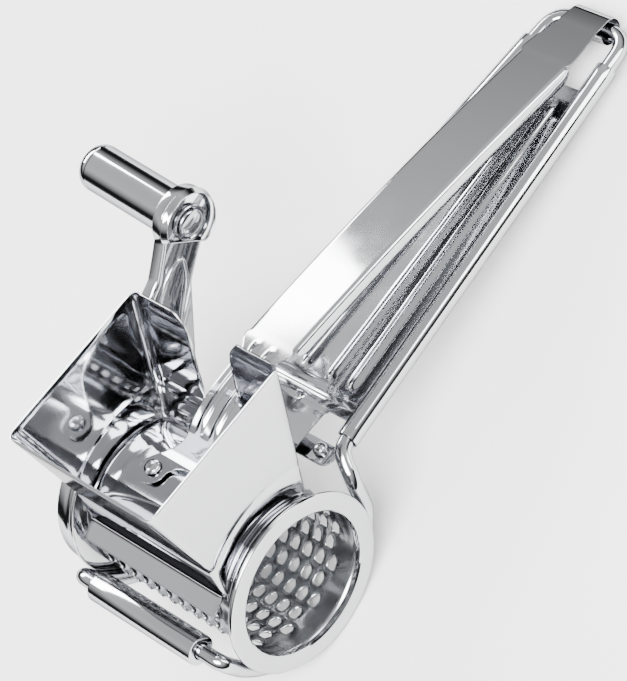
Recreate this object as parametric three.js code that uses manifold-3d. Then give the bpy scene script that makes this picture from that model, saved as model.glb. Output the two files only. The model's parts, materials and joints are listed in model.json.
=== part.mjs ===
// Rotary cheese grater: a hand-held drum grater with a squeeze lever that presses the food on the drum.
// Millimetres, +Z up. X runs from the drum to the far end of the handle, Y is the drum's axis
// (the open end of the drum faces -Y, the crank is on +Y).
// The pieces are laid out with the hopper's rim level at z = 0, then the whole group is tilted so that
// the wire cradles and the far loop stand on the floor.
import * as THREE from 'three';
import { mergeVertices } from 'three/addons/utils/BufferGeometryUtils.js';
import Module from 'manifold-3d';

const wasm = await Module();
wasm.setup();

// ---- driving dimensions ----------------------------------------------------------------------
const SHEET = 0.8; // steel sheet of the hopper and the grip plate
const GAP = 0.3; // clearance between pieces that touch
const WIRE_D = 4.6; // frame wire

const BARREL_R = 22; // perforated barrel, outside
const RIM_WIDTH = 4.4; // how far the drum's rims stand out from the barrel
const RIM_THICK = 1.2;
const RIM_LIP = 1.2; // how far a rim reaches in past the barrel's outside
const END_PLATE_THICK = 1;
const HOLE_ROWS = 20; // round the barrel
const HOLES_PER_ROW = 8; // along the barrel
const HOLE_WIDTH = 2.6;
const HOLE_HEIGHT = 3.6;

const HOPPER_WIDTH = 56.8; // over the side plates
const HOPPER_RIM = 52.6; // length of the rim, front to back
const DRUM_DROP = 59.2; // drum axis below the rim
const DRUM_SETBACK = 21.7; // drum axis behind the rim's front
const COLLAR_GAP = 1.8; // between the barrel and the arcs of the side plates
const COLLAR_OUT = 1.5; // how far the collars stand out of the side plates
const FRONT_LEAN = 4.6; // how far the front wall leans in over its upper part
const FRONT_UPPER = 33.2; // height of that upper part
const FRONT_ANGLE = 140; // degrees: where the front wall meets the collar, seen from the drum's axis
const BACK_ANGLE = 42.5; // the same for the back wall
const LIP_OUT = 5.4; // the front lip's reach forwards
const LIP_DROP = 3.5;
const NOTCH_DEPTH = 28;
const NOTCH_FLARE = 4.8; // how much wider each side of the notch is at the rim
const BACK_FLANGE = 12; // the flange at the back wall's foot that carries the grip plate

const HINGE_X = 200.6; // far loop's end bar, the lever's hinge
const HINGE_RISE = 15.8; // hinge above the drum's axis
const HINGE_HALF = 13.2; // half the loop's width, at the wire's centre
const NECK_OUT = 9.1; // where the wire leaves the grip plate for the cradle, behind the cradle
const NECK_RISE = 11.5; // the same above the drum's axis
const NECK_HALF = 22.6;
const LOOP_BEND = 7;
const CRADLE_FLARE = 3.8; // how far a cradle opens towards its ends

const SLEEVE_R = 4.4;
const SLEEVE_LENGTH = 41.6;
const SLEEVE_REACH = 8.1; // sleeve's axis in front of the barrel
const SLEEVE_RISE = 1; // the same above the drum's axis

const LEVER_SHEET = 1;
const LEVER_HALF = 9.1; // half the strip's width
const LEVER_FAR_HALF = 6.7; // the same at the hinge curl
const LEVER_BEHIND = 9; // where the strip turns into the arm, behind the hopper's rim
const LEVER_BOW = 2.3; // how far the strip arches up in the middle
const CURL_PLAY = 1.2; // between the hinge curl and the wire
const STRIP_END = 19.1; // where the strip's flanges end and its taper starts, before the hinge
const FLANGE_DEPTH = 3.8;
const ARM_HALF = 6.2;
const ARM_PLAY = 1; // between the arm and the notch, each side
const EAR_OFFSET = 12; // ear rivets from the mid plane
const EAR_R = 4.6;
const VAULT_CLEAR = 1.6; // pusher plate above the barrel
const VAULT_SIDE_GAP = 0.9;
const VAULT_FRONT = 123; // degrees
const VAULT_BACK = 51;

const CRANK_LENGTH = 78;
const CRANK_ANGLE = 43; // degrees above the handle's direction
const CRANK_HUB_R = 25.6;
const CRANK_WAIST = 7.4; // half the arm's width below the tip
const CRANK_TIP_R = 9.9;
const CRANK_SHEET = 1.2;
const CRANK_DEPTH = 4.2;
const GRIP_R = 7;
const GRIP_LENGTH = 36;
const GRIP_SPLAY = 4; // degrees by which the grip leans away from the drum's axis
const GRIP_WALL = 0.8;
const PIN_R = 2.4;
const RIVET_R = 1.3;
const RIVET_SIDES = 16;
const RIVET_HEAD_R = 2.4;
const HUB_RIVET_CIRCLE = 13;
const BUSH_LENGTH = 4;

const PLATE_LOW = 7.8; // grip plate's lower edge behind the neck
const PLATE_END = 20.6; // grip plate's far edge before the hinge
const ROLL_LOW = 3.4; // its rolled edges run on past the plate
const ROLL_END = 11.6;
const TONGUE_HALF = 11;
const BEAD_R = 1.2;
const BEAD_LOW = 10.1; // beads' start behind the plate's lower edge
const BEAD_END = 28.6; // beads' end before the hinge
const TONGUE_RIVET_Y = 6;
const BRACE_BEFORE = 2.4; // brace's middle before the neck
const BRACE_WIDTH = 6.6;
const BRACE_SHEET = 1.2;
const BRACE_RIVET_Y = 15.2;

// ---- values that follow from them ------------------------------------------------------------
const rad = THREE.MathUtils.degToRad;
const WIRE_R = WIRE_D / 2;
const AXIS = { x: DRUM_SETBACK, z: -DRUM_DROP };
const PLATE_Y = HOPPER_WIDTH / 2; // outer faces of the side plates
const CRADLE_R = BARREL_R + WIRE_R + 0.5; // wire centre round the drum's neck
const CRADLE_Y = PLATE_Y + 0.5;
const RIM_Y = CRADLE_Y + WIRE_R + 0.4; // inner faces of the drum's rims
const RIM_R = BARREL_R + RIM_WIDTH;
const COLLAR_R = BARREL_R + COLLAR_GAP;
const HUB_Y = RIM_Y + RIM_THICK + GAP + END_PLATE_THICK + GAP; // inner face of the crank arm
const ROLL_R = WIRE_R + GAP + SHEET;
const VAULT_R = BARREL_R + VAULT_CLEAR;
const VAULT_TOP = VAULT_R + SHEET;
const NECK_X = AXIS.x + CRADLE_R + NECK_OUT;
const NECK_Z = AXIS.z + NECK_RISE;
const HINGE_Z = AXIS.z + HINGE_RISE;
const SLEEVE_X = AXIS.x - BARREL_R - SLEEVE_REACH;
const SLEEVE_Z = AXIS.z + SLEEVE_RISE;
const PLATE_LOW_X = NECK_X + PLATE_LOW;
const PLATE_FAR_X = HINGE_X - PLATE_END;
const ROLL_LOW_X = NECK_X + ROLL_LOW;
const ROLL_FAR_X = HINGE_X - ROLL_END;
const BEAD_LOW_X = PLATE_LOW_X + BEAD_LOW;
const BEAD_FAR_X = HINGE_X - BEAD_END;
const BRACE_X = NECK_X - BRACE_BEFORE;
const BRACE_SCREW_X = BRACE_X + 1.2;
const BRACE_HALF = NECK_HALF - 1.7; // the brace is welded in between the two wires
const LEVER_LOW_X = HOPPER_RIM + LEVER_BEHIND;
const LEVER_LOW_Z = 4.2 - NOTCH_DEPTH; // the arm crosses the back wall just above the notch's foot
const STRIP_FAR_X = HINGE_X - STRIP_END;

const onDrum = (radius, degrees) => ({
  x: AXIS.x + radius * Math.cos(rad(degrees)),
  z: AXIS.z + radius * Math.sin(rad(degrees)),
});
const frontFoot = onDrum(COLLAR_R, FRONT_ANGLE);
const backFoot = onDrum(COLLAR_R, BACK_ANGLE);
const wireSlope = (HINGE_Z - NECK_Z) / (HINGE_X - NECK_X);
const wireZ = (x) => NECK_Z + wireSlope * (x - NECK_X); // the frame wires' own plane
const wireY = (x) => NECK_HALF + ((HINGE_HALF - NECK_HALF) * (x - NECK_X)) / (HINGE_X - NECK_X);
const plateTilt = Math.atan(wireSlope);
const TONGUE_END_X = backFoot.x + 6;
const TONGUE_RIVET_X = backFoot.x + 9;
const backWallX = (z) => HOPPER_RIM + ((HOPPER_RIM - backFoot.x) * z) / -backFoot.z;

// ---- geometry helpers ------------------------------------------------------------------------
function toSolid(geometry) {
  const bare = geometry.clone();
  bare.deleteAttribute('normal');
  bare.deleteAttribute('uv');
  const merged = mergeVertices(bare, 1e-4);
  const vertProperties = Float32Array.from(merged.attributes.position.array);
  const triVerts = Uint32Array.from(merged.index.array);
  return new wasm.Manifold(new wasm.Mesh({ numProp: 3, vertProperties, triVerts }));
}

function toGeometry(solid) {
  const mesh = solid.getMesh();
  const geometry = new THREE.BufferGeometry();
  geometry.setAttribute('position', new THREE.BufferAttribute(mesh.vertProperties, 3));
  geometry.setIndex(new THREE.BufferAttribute(mesh.triVerts, 1));
  geometry.computeVertexNormals();
  return geometry;
}

const join = (first, ...others) => others.reduce((sum, item) => sum.add(toSolid(item)), toSolid(first));
const cut = (solid, ...others) => others.reduce((rest, item) => rest.subtract(toSolid(item)), solid);

// An outline in X-Z, given as [x, z] points or as a Shape, pushed out along Y from y0 to y1.
function alongY(outline, y0, y1, curveSegments = 24) {
  const shape = outline instanceof THREE.Shape ? outline : polygon(outline);
  const geometry = new THREE.ExtrudeGeometry(shape, { depth: y1 - y0, bevelEnabled: false, curveSegments });
  return geometry.rotateX(Math.PI / 2).translate(0, y1, 0);
}

// An outline in X-Y pushed up along Z.
function alongZ(outline, z0, z1, curveSegments = 16) {
  const shape = outline instanceof THREE.Shape ? outline : polygon(outline);
  const geometry = new THREE.ExtrudeGeometry(shape, { depth: z1 - z0, bevelEnabled: false, curveSegments });
  return geometry.translate(0, 0, z0);
}

const polygon = (points) => new THREE.Shape(points.map(([x, y]) => new THREE.Vector2(x, y)));

// A ring sector round a centre, from one angle to another, as outline points.
function sector(centre, inner, outer, from, to, steps) {
  const arc = (radius, a, b) =>
    Array.from({ length: steps + 1 }, (_, i) => {
      const angle = rad(a + ((b - a) * i) / steps);
      return [centre.x + radius * Math.cos(angle), centre.z + radius * Math.sin(angle)];
    });
  return [...arc(outer, from, to), ...arc(inner, to, from)];
}

// The outline of a sheet of one thickness that follows a line of [x, z] points, seen edge on.
function sheetOutline(line, thickness) {
  const side = (sign) =>
    line.map(([x, z], i) => {
      const before = line[Math.max(i - 1, 0)];
      const after = line[Math.min(i + 1, line.length - 1)];
      const turn = (p, q) => Math.atan2(q[1] - p[1], q[0] - p[0]);
      const inAngle = i > 0 ? turn(before, [x, z]) : turn([x, z], after);
      const outAngle = i < line.length - 1 ? turn([x, z], after) : inAngle;
      const bend = Math.atan2(Math.sin(outAngle - inAngle), Math.cos(outAngle - inAngle));
      const middle = inAngle + bend / 2 + Math.PI / 2;
      const reach = (sign * thickness) / 2 / Math.cos(bend / 2);
      return [x + reach * Math.cos(middle), z + reach * Math.sin(middle)];
    });
  return [...side(1), ...side(-1).reverse()];
}

// A round rod or tube profile turned about an axis that starts at a place and points along a direction.
function turned(profile, place, direction, segments = 32) {
  const geometry = new THREE.LatheGeometry(profile.map(([r, h]) => new THREE.Vector2(r, h)), segments);
  const turn = new THREE.Quaternion().setFromUnitVectors(new THREE.Vector3(0, 1, 0), direction.clone().normalize());
  return geometry.applyQuaternion(turn).translate(place.x, place.y, place.z);
}

const tubeProfile = (inner, outer, h0, h1) => [
  [inner, h0],
  [outer, h0],
  [outer, h1],
  [inner, h1],
  [inner, h0],
];
const rodProfile = (radius, h0, h1) => [
  [0, h0],
  [radius, h0],
  [radius, h1],
  [0, h1],
];

const alongAxis = new THREE.Vector3(0, 1, 0);
const at = (x, y, z) => new THREE.Vector3(x, y, z);

// A smooth path through points, with every corner rounded by its own radius.
function bentPath(points, bends) {
  const path = new THREE.CurvePath();
  let start = points[0];
  for (let i = 1; i < points.length - 1; i += 1) {
    const back = points[i - 1].clone().sub(points[i]);
    const ahead = points[i + 1].clone().sub(points[i]);
    const reach = Math.min(bends[i - 1], 0.49 * back.length(), 0.49 * ahead.length());
    const enter = points[i].clone().addScaledVector(back.normalize(), reach);
    const leave = points[i].clone().addScaledVector(ahead.normalize(), reach);
    path.add(new THREE.LineCurve3(start, enter));
    path.add(new THREE.QuadraticBezierCurve3(enter, points[i], leave));
    start = leave;
  }
  path.add(new THREE.LineCurve3(start, points[points.length - 1]));
  return path;
}

function roundRod(path, radius, steps, sides = 12) {
  const section = new THREE.Shape();
  section.absarc(0, 0, radius, 0, 2 * Math.PI);
  return new THREE.ExtrudeGeometry(section, { extrudePath: path, steps, curveSegments: sides / 2, bevelEnabled: false });
}

// A rivet through sheets that lie between two heights, with a domed head above and a flat one below.
function rivetProfile(headR, shankR, top, bottom, dome = 1.3, foot = 0.7) {
  const arc = Array.from({ length: 4 }, (_, i) => {
    const angle = (i * Math.PI) / 6;
    return [headR * Math.cos(angle), top + GAP + dome * Math.sin(angle)];
  });
  arc[arc.length - 1][0] = 0;
  return [[0, bottom - GAP - foot], [headR * 0.85, bottom - GAP - foot], [headR * 0.85, bottom - GAP],
    [shankR, bottom - GAP], [shankR, top + GAP], ...arc];
}

const holeFor = (place, direction, radius, h0, h1) => turned(rodProfile(radius + GAP, h0, h1), place, direction, 20);

// ---- materials -------------------------------------------------------------------------------
const metal = (color, roughness) => new THREE.MeshStandardMaterial({ color, roughness, metalness: 1 });
const polished = metal('#c9ccd0', 0.16);
const satin = metal('#b9bcc0', 0.3);
const wireSteel = metal('#c4c7cb', 0.2);

const part = new THREE.Group();
const tilted = new THREE.Group();
part.add(tilted);
function add(name, geometry, material = polished) {
  const mesh = new THREE.Mesh(geometry, material);
  mesh.name = name;
  tilted.add(mesh);
}

// ---- hopper ----------------------------------------------------------------------------------
function sidePlateOutline() {
  const arc = sector(AXIS, COLLAR_R, COLLAR_R, BACK_ANGLE, FRONT_ANGLE, 20).slice(0, 21);
  return [[0, 0], [HOPPER_RIM, 0], ...arc, [FRONT_LEAN, -FRONT_UPPER]];
}

function notchCutter() {
  const half = ARM_HALF + ARM_PLAY;
  const wide = half + NOTCH_FLARE;
  const shape = new THREE.Shape();
  shape.moveTo(-wide, 1);
  shape.lineTo(-wide, 0);
  shape.quadraticCurveTo(-half - 1.2, -1, -half - 0.8, -7);
  shape.lineTo(-half, -NOTCH_DEPTH + 2);
  shape.quadraticCurveTo(-half, -NOTCH_DEPTH, -half + 2, -NOTCH_DEPTH);
  shape.lineTo(half - 2, -NOTCH_DEPTH);
  shape.quadraticCurveTo(half, -NOTCH_DEPTH, half, -NOTCH_DEPTH + 2);
  shape.lineTo(half + 0.8, -7);
  shape.quadraticCurveTo(half + 1.2, -1, wide, 0);
  shape.lineTo(wide, 1);
  const depth = HOPPER_RIM - backFoot.x + 10;
  const geometry = new THREE.ExtrudeGeometry(shape, { depth, bevelEnabled: false, curveSegments: 6 });
  return geometry.rotateX(Math.PI / 2).rotateZ(Math.PI / 2).translate(backFoot.x - 5, 0, 0);
}

function hopperShell() {
  const frontLine = [[SHEET / 2, 0], [FRONT_LEAN + SHEET / 2, -FRONT_UPPER], [frontFoot.x + SHEET / 2, frontFoot.z],
    [frontFoot.x - LIP_OUT, frontFoot.z - LIP_DROP]];
  const flangeZ = wireZ(backFoot.x + BACK_FLANGE) + SHEET + GAP;
  const backLine = [[HOPPER_RIM - SHEET / 2, 0], [backFoot.x + SHEET, backFoot.z + 1.2],
    [backFoot.x + 4.5, flangeZ], [backFoot.x + BACK_FLANGE, flangeZ]];
  const plate = sidePlateOutline();
  const collar = sector(AXIS, COLLAR_R, COLLAR_R + SHEET, BACK_ANGLE + 2, FRONT_ANGLE - 2, 20);
  const inner = PLATE_Y - SHEET;
  const shell = join(
    alongY(plate, -PLATE_Y, -inner),
    alongY(plate, inner, PLATE_Y),
    alongY(sheetOutline(frontLine, SHEET), -inner - 0.1, inner + 0.1),
    alongY(sheetOutline(backLine, SHEET), -inner - 0.1, inner + 0.1),
    alongY(collar, -PLATE_Y - COLLAR_OUT, -inner - 0.1),
    alongY(collar, inner + 0.1, PLATE_Y + COLLAR_OUT),
  );
  return cut(shell, notchCutter(), ...flangeTrims(), ...plateRivetHoles());
}

// The back flange is only as wide as the grip plate's tongue, so its sides are trimmed away.
function flangeTrims() {
  const depth = BACK_FLANGE + 4;
  const fromX = backFoot.x + 3.8;
  return [-1, 1].map((side) => {
    const box = new THREE.BoxGeometry(depth, PLATE_Y, 4);
    return box.translate(fromX + depth / 2, side * (TONGUE_HALF + PLATE_Y / 2), wireZ(backFoot.x) + 1.5);
  });
}

// ---- wire frame ------------------------------------------------------------------------------
function wireFramePath() {
  const cradle = (side) =>
    Array.from({ length: 17 }, (_, i) => {
      const angle = 194 + (i * 158) / 16;
      const open = Math.max(0, (Math.abs(angle - 270) - 30) / 52);
      const p = onDrum(CRADLE_R + CRADLE_FLARE * open * open, angle);
      return at(p.x, side * CRADLE_Y, p.z);
    });
  const half = (side) => [
    at(SLEEVE_X, side * 0.5, SLEEVE_Z),
    at(SLEEVE_X, side * CRADLE_Y, SLEEVE_Z),
    ...cradle(side),
    at(AXIS.x + CRADLE_R + CRADLE_FLARE + 0.7, side * CRADLE_Y, NECK_Z - 5.8),
    at(NECK_X, side * NECK_HALF, NECK_Z),
    at(HINGE_X, side * wireY(HINGE_X), HINGE_Z),
  ];
  const bendsOf = [4.5, 3, ...Array(15).fill(1.5), 4, 4.5, 3.6, LOOP_BEND];
  const near = half(-1);
  const far = half(1).reverse();
  return bentPath([...near, ...far], [...bendsOf, ...[...bendsOf].reverse()]);
}

// ---- grip plate ------------------------------------------------------------------------------
function plateSheet(outline) {
  const sheet = alongZ(outline, -SHEET / 2, SHEET / 2);
  return sheet.rotateY(-plateTilt).translate(0, 0, wireZ(0));
}

function rolledEdge(side, inner, outer, over = 0) {
  const start = at(ROLL_LOW_X - over, side * wireY(ROLL_LOW_X - over), wireZ(ROLL_LOW_X - over));
  const end = at(ROLL_FAR_X + over, side * wireY(ROLL_FAR_X + over), wireZ(ROLL_FAR_X + over));
  const run = end.clone().sub(start);
  const profile = inner > 0 ? tubeProfile(inner, outer, 0, run.length()) : rodProfile(outer, 0, run.length());
  return turned(profile, start, run, 24);
}

function bead(y0, y1) {
  const start = at(BEAD_LOW_X, y0, wireZ(BEAD_LOW_X) + 0.2);
  const end = at(BEAD_FAR_X, y1, wireZ(BEAD_FAR_X) + 0.2);
  const run = end.clone().sub(start);
  const capsule = new THREE.CapsuleGeometry(BEAD_R, run.length(), 4, 12);
  const turn = new THREE.Quaternion().setFromUnitVectors(alongAxis, run.clone().normalize());
  const centre = start.add(end).multiplyScalar(0.5);
  return capsule.applyQuaternion(turn).translate(centre.x, centre.y, centre.z);
}

function plateRivetHoles() {
  return [-1, 1].map((side) => {
    const place = at(TONGUE_RIVET_X, side * TONGUE_RIVET_Y, wireZ(TONGUE_RIVET_X));
    return holeFor(place, at(0, 0, 1), RIVET_R, -3, 5);
  });
}

function gripPlate() {
  const stretch = (x) => x / Math.cos(plateTilt);
  const edge = (x) => wireY(x) - WIRE_R - GAP - SHEET / 2;
  const web = [
    [stretch(PLATE_LOW_X), -edge(PLATE_LOW_X)],
    [stretch(PLATE_FAR_X), -edge(PLATE_FAR_X)],
    [stretch(PLATE_FAR_X), edge(PLATE_FAR_X)],
    [stretch(PLATE_LOW_X), edge(PLATE_LOW_X)],
  ];
  const tongue = [
    [stretch(TONGUE_END_X), -TONGUE_HALF + 1],
    [stretch(PLATE_LOW_X + 1), -TONGUE_HALF - 1],
    [stretch(PLATE_LOW_X + 1), TONGUE_HALF + 1],
    [stretch(TONGUE_END_X), TONGUE_HALF - 1],
  ];
  const beads = [-1, 1].flatMap((side) => [bead(side * 5, side * 2.6), bead(side * 12.6, side * 6.6)]);
  const solid = join(plateSheet(web), plateSheet(tongue), rolledEdge(-1, 0, ROLL_R), rolledEdge(1, 0, ROLL_R), ...beads);
  const bores = [-1, 1].map((side) => rolledEdge(side, 0, WIRE_R + GAP, 2));
  return cut(solid, ...bores, ...plateRivetHoles(), braceScrewHole());
}

// ---- back brace ------------------------------------------------------------------------------
const braceTop = () => wireZ(BRACE_X) - WIRE_R - GAP;

const braceRivetPlaces = [-1, 1].map((side) => at(BRACE_X + 0.6, side * BRACE_RIVET_Y, braceTop()));

function braceScrewHole() {
  return holeFor(at(BRACE_SCREW_X, 0, wireZ(BRACE_SCREW_X)), at(0, 0, 1), RIVET_R, -8, 8);
}

// A flat cross strap between the wires, with a raised pad in the middle that meets the tongue.
function backBrace() {
  const top = braceTop();
  const strap = new THREE.BoxGeometry(BRACE_WIDTH, 2 * BRACE_HALF, BRACE_SHEET);
  strap.translate(BRACE_X, 0, top - BRACE_SHEET / 2);
  const padHeight = wireZ(BRACE_X) - SHEET / 2 - GAP - 0.4 - top;
  const pad = new THREE.BoxGeometry(4, 8, padHeight + 0.6).translate(BRACE_SCREW_X, 0, top - 0.3 + padHeight / 2 - 0.1);
  const rivetHoles = braceRivetPlaces.map((place) => holeFor(place, at(0, 0, 1), RIVET_R, -3, 3));
  return cut(join(strap, pad), braceScrewHole(), ...rivetHoles);
}

// ---- pusher lever ----------------------------------------------------------------------------
const curlOuter = WIRE_R + CURL_PLAY + LEVER_SHEET;
const curlMiddle = curlOuter - LEVER_SHEET / 2;
const stripShare = (x) => (x - LEVER_LOW_X) / (HINGE_X - LEVER_LOW_X);
const leverZ = (x) => {
  const t = stripShare(x);
  return LEVER_LOW_Z + t * (HINGE_Z + curlMiddle - LEVER_LOW_Z) + 4 * LEVER_BOW * t * (1 - t);
};
const stripLine = (from, to, steps) =>
  Array.from({ length: steps + 1 }, (_, i) => {
    const x = from + ((to - from) * i) / steps;
    return [x, leverZ(x)];
  });
const armLine = [
  [LEVER_LOW_X, LEVER_LOW_Z],
  [backWallX(LEVER_LOW_Z) - 0.5, LEVER_LOW_Z - 0.7],
  [AXIS.x + 15, LEVER_LOW_Z - 3],
  [AXIS.x + 6.5, AXIS.z + VAULT_TOP + GAP + LEVER_SHEET / 2 + 1.2],
  [AXIS.x + 2.5, AXIS.z + VAULT_TOP + GAP + LEVER_SHEET / 2],
  [AXIS.x - EAR_R, AXIS.z + VAULT_TOP + GAP + LEVER_SHEET / 2],
];
const leverLine = [...stripLine(HINGE_X, LEVER_LOW_X, 10).slice(0, -1), ...armLine];

// The lever seen from above: strip, narrow arm, shoulder and two round ears with an arch between them.
function leverPlan() {
  const shape = new THREE.Shape();
  const earX = AXIS.x - 0.2;
  const neckX = AXIS.x + 9;
  shape.moveTo(HINGE_X + 2 * curlOuter, -LEVER_FAR_HALF);
  shape.lineTo(HINGE_X + 2 * curlOuter, LEVER_FAR_HALF);
  shape.lineTo(HINGE_X, LEVER_FAR_HALF);
  shape.lineTo(STRIP_FAR_X, LEVER_HALF);
  shape.lineTo(LEVER_LOW_X + 3, LEVER_HALF);
  shape.quadraticCurveTo(LEVER_LOW_X, LEVER_HALF, LEVER_LOW_X - 2, ARM_HALF);
  shape.lineTo(neckX + 4, ARM_HALF);
  shape.quadraticCurveTo(neckX, ARM_HALF, neckX - 2, EAR_OFFSET);
  shape.quadraticCurveTo(earX + 4.6, EAR_OFFSET + EAR_R, earX, EAR_OFFSET + EAR_R);
  shape.absarc(earX, EAR_OFFSET, EAR_R, Math.PI / 2, 1.5 * Math.PI, false);
  shape.quadraticCurveTo(earX + 4, EAR_OFFSET - EAR_R, earX + 4, 0);
  shape.quadraticCurveTo(earX + 4, -EAR_OFFSET + EAR_R, earX, -EAR_OFFSET + EAR_R);
  shape.absarc(earX, -EAR_OFFSET, EAR_R, Math.PI / 2, 1.5 * Math.PI, false);
  shape.quadraticCurveTo(earX + 4.6, -EAR_OFFSET - EAR_R, neckX - 2, -EAR_OFFSET);
  shape.quadraticCurveTo(neckX, -ARM_HALF, neckX + 4, -ARM_HALF);
  shape.lineTo(LEVER_LOW_X - 2, -ARM_HALF);
  shape.quadraticCurveTo(LEVER_LOW_X, -LEVER_HALF, LEVER_LOW_X + 3, -LEVER_HALF);
  shape.lineTo(STRIP_FAR_X, -LEVER_HALF);
  shape.lineTo(HINGE_X, -LEVER_FAR_HALF);
  return shape;
}

// A stiffening rib: a half-round ridge that follows the arm's bend.
function armRib(y) {
  const start = LEVER_LOW_X + 4;
  const line = [[start, leverZ(start) - 0.4], armLine[1], armLine[2]].map(([x, z]) => at(x, y, z + 0.45));
  return roundRod(bentPath(line, [3]), 0.9, 14, 8);
}

function leverFlange(side) {
  const startX = LEVER_LOW_X + 3.4;
  const endX = STRIP_FAR_X;
  const shape = new THREE.Shape();
  shape.moveTo(startX, leverZ(startX));
  stripLine(startX, endX, 10).forEach(([x, z]) => shape.lineTo(x, z));
  shape.quadraticCurveTo(endX, leverZ(endX) - FLANGE_DEPTH, endX - 5, leverZ(endX - 5) - FLANGE_DEPTH);
  stripLine(endX - 5, startX + 5, 10).forEach(([x, z]) => shape.lineTo(x, z - FLANGE_DEPTH));
  shape.quadraticCurveTo(startX, leverZ(startX) - FLANGE_DEPTH, startX, leverZ(startX));
  const y = side * (LEVER_HALF - LEVER_SHEET / 2);
  return alongY(shape, y - LEVER_SHEET / 2, y + LEVER_SHEET / 2, 6);
}

function pusherLever() {
  const widest = EAR_OFFSET + EAR_R + 1;
  const band = toSolid(alongY(sheetOutline(leverLine, LEVER_SHEET), -widest, widest));
  const web = band.intersect(toSolid(alongZ(leverPlan(), -80, 5)));
  const curl = sector({ x: HINGE_X, z: HINGE_Z }, WIRE_R + CURL_PLAY, curlOuter, -215, 91, 30);
  const curlSolid = toSolid(alongY(curl, -LEVER_FAR_HALF, LEVER_FAR_HALF));
  const ribs = [armRib(-2.6), armRib(2.6)].map(toSolid);
  const flanges = [leverFlange(-1), leverFlange(1)].map(toSolid);
  const solid = [curlSolid, ...ribs, ...flanges].reduce((sum, item) => sum.add(item), web);
  return cut(solid, ...earHoles());
}

function earHoles() {
  return [-1, 1].map((side) => holeFor(at(AXIS.x, side * EAR_OFFSET, AXIS.z), at(0, 0, 1), RIVET_R, VAULT_R - 4, VAULT_TOP + 6));
}

function pusherPlate() {
  const half = PLATE_Y - SHEET - VAULT_SIDE_GAP;
  const arc = sector(AXIS, VAULT_R, VAULT_TOP, VAULT_BACK, VAULT_FRONT, 24);
  return cut(toSolid(alongY(arc, -half, half)), ...earHoles());
}

// ---- drum ------------------------------------------------------------------------------------
const barrelEnd = RIM_Y - GAP;
const axisPoint = (y) => at(AXIS.x, y, AXIS.z);

function drumTurned(profile, segments = 60) {
  return turned(profile, axisPoint(0), alongAxis, segments);
}

// One grating hole: a pointed arch cut outwards through the barrel's wall.
function holeCutter(turn, y) {
  const half = HOLE_WIDTH / 2;
  const foot = -HOLE_HEIGHT / 2;
  const shape = polygon([[foot, -half], [0, -half], [HOLE_HEIGHT / 2, 0], [0, half], [foot, half]]);
  const geometry = new THREE.ExtrudeGeometry(shape, { depth: 6, bevelEnabled: false });
  return toSolid(geometry.translate(0, y, BARREL_R - 3).rotateY(turn).translate(AXIS.x, 0, AXIS.z));
}

function drumBarrel() {
  const tube = toSolid(drumTurned(tubeProfile(BARREL_R - SHEET, BARREL_R, -barrelEnd, barrelEnd)));
  const span = 2 * (barrelEnd - 9);
  const cutters = [];
  for (let row = 0; row < HOLE_ROWS; row += 1) {
    for (let i = 0; i < HOLES_PER_ROW; i += 1) {
      const y = -span / 2 + (span * (i + (row % 2 ? 0.75 : 0.25))) / HOLES_PER_ROW;
      cutters.push(holeCutter((row * 2 * Math.PI) / HOLE_ROWS, y));
    }
  }
  return tube.subtract(wasm.Manifold.union(cutters));
}

function drumRim(side) {
  const inner = side * RIM_Y;
  const outer = side * (RIM_Y + RIM_THICK);
  const [h0, h1] = inner < outer ? [inner, outer] : [outer, inner];
  return drumTurned(tubeProfile(BARREL_R - RIM_LIP, RIM_R, h0, h1));
}

const crankDirection = at(Math.cos(rad(CRANK_ANGLE)), 0, Math.sin(rad(CRANK_ANGLE)));
const crankTip = { x: AXIS.x + CRANK_LENGTH * crankDirection.x, z: AXIS.z + CRANK_LENGTH * crankDirection.z };
const hubRivetPlaces = [0, 1, 2].map((i) => onDrum(HUB_RIVET_CIRCLE, CRANK_ANGLE + 180 + i * 120));

function hubHoles() {
  return hubRivetPlaces.map((p) => holeFor(at(p.x, 0, p.z), alongAxis, RIVET_R, RIM_Y, HUB_Y + CRANK_DEPTH + 2));
}

function drumEndPlate() {
  const y0 = RIM_Y + RIM_THICK + GAP;
  return cut(toSolid(drumTurned(rodProfile(RIM_R - 0.6, y0, y0 + END_PLATE_THICK))), ...hubHoles());
}

// The crank arm's outline, from the hub to the tip, shrunk by an inset.
function crankOutline(inset) {
  const hub = CRANK_HUB_R - inset;
  const tip = CRANK_TIP_R - inset;
  const shape = new THREE.Shape();
  const waist = CRANK_WAIST - inset;
  const waistX = CRANK_LENGTH - 18;
  const hubAngle = Math.atan2(waist, waistX) + Math.acos(hub / Math.hypot(waist, waistX));
  const tipAngle = rad(128);
  shape.absarc(0, 0, hub, hubAngle, 2 * Math.PI - hubAngle, false);
  shape.lineTo(waistX, -waist);
  shape.quadraticCurveTo(CRANK_LENGTH - 12, -waist, CRANK_LENGTH + tip * Math.cos(tipAngle), -tip * Math.sin(tipAngle));
  shape.absarc(CRANK_LENGTH, 0, tip, -tipAngle, tipAngle, false);
  shape.quadraticCurveTo(CRANK_LENGTH - 12, waist, waistX, waist);
  shape.lineTo(hub * Math.cos(hubAngle), hub * Math.sin(hubAngle));
  return shape;
}

function placeOnCrank(geometry) {
  return geometry.rotateY(-rad(CRANK_ANGLE)).translate(AXIS.x, 0, AXIS.z);
}

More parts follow.
